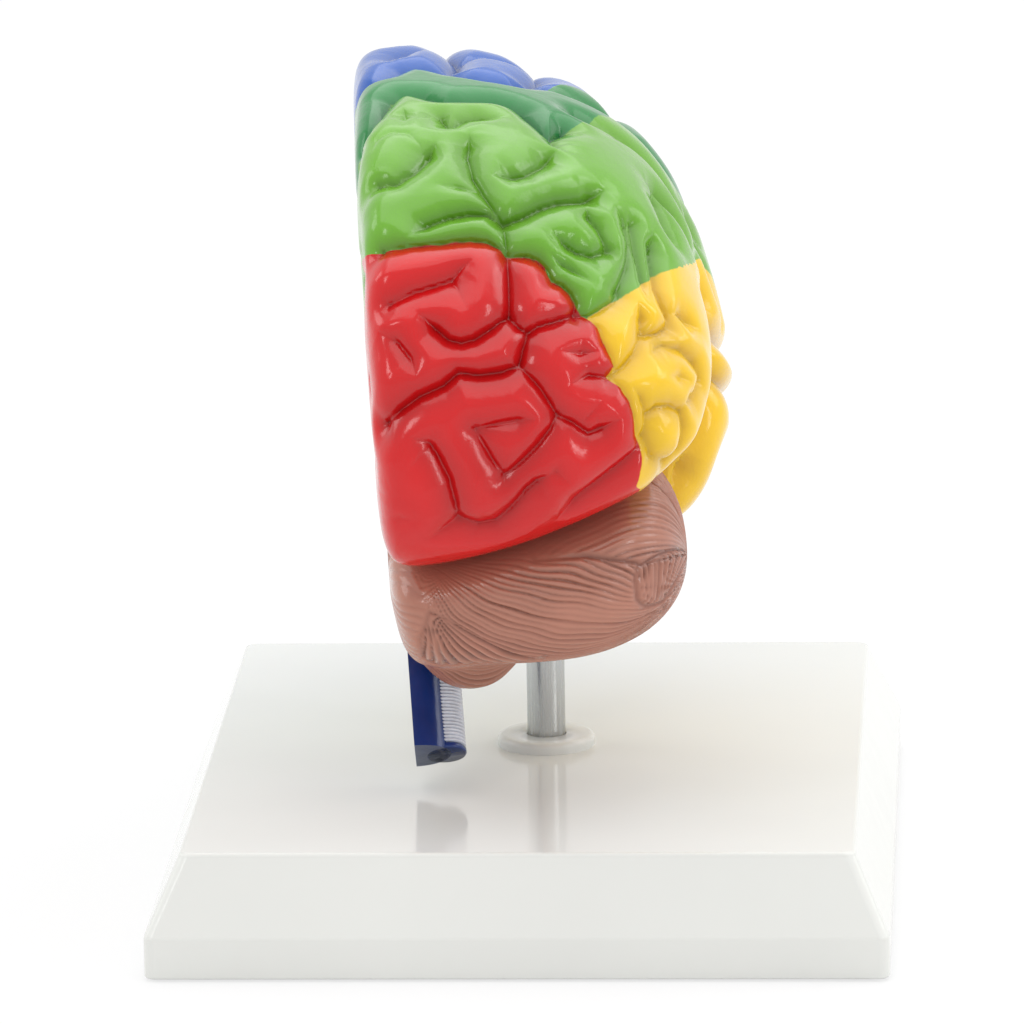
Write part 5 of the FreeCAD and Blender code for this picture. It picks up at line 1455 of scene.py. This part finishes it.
class BRAIN_OT_stand(bpy.types.Operator):
    """White moulded stand: low plinth, sloping sides, hollow below"""
    bl_idname = "brain.stand"
    bl_label = "Stand"

    def execute(self, context):
        sizes = context.scene.stand_sizes
        width, depth = STAND_HIGH.x, STAND_HIGH.y
        top, foot = STAND_HIGH.z, STAND_LOW.z
        fold = foot + sizes.plinth
        lean = sizes.outset / (top - fold)
        rings = [rounded_ring(width - inset, depth - inset, max(0.0004, sizes.corner - inset), height)
                 for inset, height in ((0.0003, foot), (0.0, foot + 0.0003), (0.0, fold - 0.0004),
                                       (lean * 0.0004, fold + 0.0004))]
        rim = sizes.rim
        start = top - rim
        for step in range(7):
            angle = math.radians(90.0 * step / 6)
            inset = sizes.outset - lean * rim + rim * (1.0 - math.cos(angle))
            height = start + rim * math.sin(angle)
            rings.append(rounded_ring(width - inset, depth - inset, sizes.corner, height))
        inset = sizes.outset + rim + 0.0006
        rings.append(rounded_ring(width - inset, depth - inset, sizes.corner, top))
        wall = sizes.wall
        inner = [rounded_ring(width - inset, depth - inset, INNER_CORNER, height) for inset, height in (
            (wall + sizes.outset - wall * lean, top - wall), (wall, fold), (wall, foot))]
        piece = lofted("stand_shell", inner + rings)
        join_into(piece, under_parts(sizes))
        even = piece.modifiers.new("even", "WEIGHTED_NORMAL")
        even.weight = 50
        even.keep_sharp = True
        sharp_by_angle(piece, 50.0)
        settle(piece)
        finished(piece, stand_plastic(), "stand", "stand_white", "stand_base")
        return {"FINISHED"}


class BRAIN_OT_post(bpy.types.Operator):
    """Bright post with a chamfered top, and the white collar round its foot"""
    bl_idname = "brain.post"
    bl_label = "Post and collar"

    def execute(self, context):
        chamfer = 0.0008
        hole_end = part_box("post_screw")[1].z + 0.001
        profile = [(POST_HOLE, hole_end), (POST_HOLE, POST_LOW.z), (POST_RADIUS, POST_LOW.z),
                   (POST_RADIUS, POST_HIGH.z - chamfer), (POST_RADIUS - chamfer, POST_HIGH.z)]
        post = lofted("post_bar", round_rings(profile))
        sharp_by_angle(post)
        finished(post, drawn_steel(), "stand", "post_metal", "post")
        radius = (COLLAR_HIGH.x - COLLAR_LOW.x) / 2
        low, high = COLLAR_LOW.z, COLLAR_HIGH.z
        soft = 0.0012
        inner = POST_RADIUS + CLEARANCE
        profile = [(inner, low), (radius, low), (radius, low + 0.0004)]
        profile += arc((radius - soft, high - soft), soft, 0.0, 90.0, 9)
        profile += [(inner + 0.0003, high), (inner, high - 0.0003)]
        collar = turned_form("collar_ring", profile)
        sharp_by_angle(collar, 60.0)
        finished(collar, stand_plastic(), "stand", "stand_white", "post_collar")
        return {"FINISHED"}


class BRAIN_OT_fittings(bpy.types.Operator):
    """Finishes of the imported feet, screw, washer and socket bush"""
    bl_idname = "brain.fittings"
    bl_label = "Feet and fittings"

    def execute(self, context):
        finishes = {
            foot_rubber(): FOOT_NODES,
            plated_steel(): ("post_screw", "post_washer"),
            bush_plastic(): ("socket_bush",),
        }
        for material, nodes in finishes.items():
            for name in nodes:
                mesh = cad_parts[name].data
                mesh.materials.clear()
                mesh.materials.append(material)
        return {"FINISHED"}


def lamp(name, place, target, width, height, power):
    """Area light that faces a target."""
    light = bpy.data.lights.new(name, "AREA")
    light.shape = "RECTANGLE"
    light.size = width
    light.size_y = height
    light.energy = power
    holder = bpy.data.objects.new(name, light)
    bpy.context.scene.collection.objects.link(holder)
    aim = Vector(target) - Vector(place)
    holder.matrix_world = Matrix.Translation(place) @ aim.to_track_quat("-Z", "Y").to_matrix().to_4x4()


class BRAIN_OT_stage(bpy.types.Operator):
    """Pale floor, soft lights and the camera of the reference picture"""
    bl_idname = "brain.stage"
    bl_label = "Stage"

    def execute(self, context):
        scene = context.scene
        sizes = scene.stage_sizes
        scene.view_settings.view_transform = "Standard"
        world = bpy.data.worlds.new("surround")
        world.use_nodes = True
        scene.world = world
        tree = world.node_tree
        tree.nodes.clear()
        path = tree.nodes.new("ShaderNodeLightPath")
        seen = tree.nodes.new("ShaderNodeMath")
        seen.operation = "MAXIMUM"
        mirrored = tree.nodes.new("ShaderNodeMath")
        mirrored.operation = "MULTIPLY"
        mirrored.inputs[1].default_value = MIRRORED_SHARE
        plain = tree.nodes.new("ShaderNodeBackground")
        plain.inputs["Strength"].default_value = sizes.surround
        white = tree.nodes.new("ShaderNodeBackground")
        white.inputs["Strength"].default_value = 1.0
        for background in (plain, white):
            background.inputs["Color"].default_value = (1.0, 1.0, 1.0, 1.0)
        mix = tree.nodes.new("ShaderNodeMixShader")
        out = tree.nodes.new("ShaderNodeOutputWorld")
        tree.links.new(path.outputs["Is Camera Ray"], seen.inputs[0])
        tree.links.new(path.outputs["Is Glossy Ray"], mirrored.inputs[0])
        tree.links.new(mirrored.outputs[0], seen.inputs[1])
        tree.links.new(seen.outputs[0], mix.inputs[0])
        tree.links.new(plain.outputs[0], mix.inputs[1])
        tree.links.new(white.outputs[0], mix.inputs[2])
        tree.links.new(mix.outputs[0], out.inputs[0])
        self.make_floor()
        middle = (0.0, 0.0, 0.09)
        lamp("key", (-0.75, -0.75, 0.85), middle, 0.24, 0.36, sizes.key_power)
        lamp("fill", (0.95, -0.55, 0.35), middle, 0.12, 0.5, sizes.fill_power)
        lamp("top", (0.15, 0.25, 1.2), middle, 1.9, 1.9, sizes.top_power)
        for side in (-1.0, 1.0):
            lamp("low", (1.1 * side, 0.3, 0.7), (0.0, 0.0, 0.03), 0.5, 0.5, sizes.low_power)
        self.make_camera(scene)
        return {"FINISHED"}

    def make_floor(self):
        """White floor that glows towards the camera and keeps the shadow."""
        form = bmesh.new()
        bmesh.ops.create_grid(form, x_segments=1, y_segments=1, size=FLOOR_REACH)
        mesh = bpy.data.meshes.new("floor")
        form.to_mesh(mesh)
        form.free()
        floor = bpy.data.objects.new("floor", mesh)
        bpy.context.scene.collection.objects.link(floor)
        material = bpy.data.materials.new("floor_white")
        material.use_nodes = True
        tree = material.node_tree
        tree.nodes.clear()
        path = tree.nodes.new("ShaderNodeLightPath")
        rays = tree.nodes.new("ShaderNodeMath")
        rays.operation = "MAXIMUM"
        share = tree.nodes.new("ShaderNodeMath")
        share.operation = "MULTIPLY"
        share.inputs[1].default_value = FLOOR_GLOW
        matte = tree.nodes.new("ShaderNodeBsdfDiffuse")
        matte.inputs["Color"].default_value = (0.86, 0.86, 0.86, 1.0)
        glow = tree.nodes.new("ShaderNodeEmission")
        glow.inputs["Color"].default_value = (1.0, 1.0, 1.0, 1.0)
        mix = tree.nodes.new("ShaderNodeMixShader")
        out = tree.nodes.new("ShaderNodeOutputMaterial")
        tree.links.new(path.outputs["Is Camera Ray"], rays.inputs[0])
        tree.links.new(path.outputs["Is Glossy Ray"], rays.inputs[1])
        tree.links.new(rays.outputs[0], share.inputs[0])
        tree.links.new(share.outputs[0], mix.inputs[0])
        tree.links.new(matte.outputs[0], mix.inputs[1])
        tree.links.new(glow.outputs[0], mix.inputs[2])
        tree.links.new(mix.outputs[0], out.inputs[0])
        mesh.materials.append(material)

    def make_camera(self, scene):
        """Camera at the eye of the reference picture."""
        place, back, right, up = eye_axes()
        lens = bpy.data.cameras.new("eye")
        lens.sensor_width = SENSOR_WIDTH
        lens.lens = EYE_FOCAL * SENSOR_WIDTH / PICTURE_WIDTH
        lens.clip_end = 30.0
        camera = bpy.data.objects.new("eye", lens)
        scene.collection.objects.link(camera)
        turn = Matrix((right, up, back)).transposed().to_4x4()
        camera.matrix_world = Matrix.Translation(place * MM) @ turn
        scene.camera = camera


class BRAIN_PT_panel(bpy.types.Panel):
    """Buttons that make each piece"""
    bl_label = "Brain model"
    bl_idname = "BRAIN_PT_panel"
    bl_space_type = "VIEW_3D"
    bl_region_type = "UI"
    bl_category = "Brain model"

    def draw(self, context):
        for operator in OPERATORS:
            self.layout.operator(operator.bl_idname)
        for group in (context.scene.casting_sizes, context.scene.paint_colours,
                      context.scene.stand_sizes, context.scene.stage_sizes):
            box = self.layout.box()
            for name in type(group).__annotations__:
                box.prop(group, name)


OPERATORS = (BRAIN_OT_stage, BRAIN_OT_stand, BRAIN_OT_post, BRAIN_OT_fittings, BRAIN_OT_cerebrum,
             BRAIN_OT_cerebellum, BRAIN_OT_stem, BRAIN_OT_roots)
GROUPS = {"casting_sizes": CastingSizes, "paint_colours": PaintColours, "stand_sizes": StandSizes,
          "stage_sizes": StageSizes}


def register():
    for name, group in GROUPS.items():
        bpy.utils.register_class(group)
        setattr(bpy.types.Scene, name, bpy.props.PointerProperty(type=group))
    for operator in OPERATORS:
        bpy.utils.register_class(operator)
    bpy.utils.register_class(BRAIN_PT_panel)


def unregister():
    bpy.utils.unregister_class(BRAIN_PT_panel)
    for operator in reversed(OPERATORS):
        bpy.utils.unregister_class(operator)
    for name, group in GROUPS.items():
        delattr(bpy.types.Scene, name)
        bpy.utils.unregister_class(group)


def main():
    register()
    bpy.ops.brain.stage()
    bpy.ops.brain.stand()
    bpy.ops.brain.post()
    bpy.ops.brain.fittings()
    bpy.ops.brain.cerebrum()
    bpy.ops.brain.cerebellum()
    bpy.ops.brain.stem()
    bpy.ops.brain.roots()


if __name__ == "__main__":
    main()
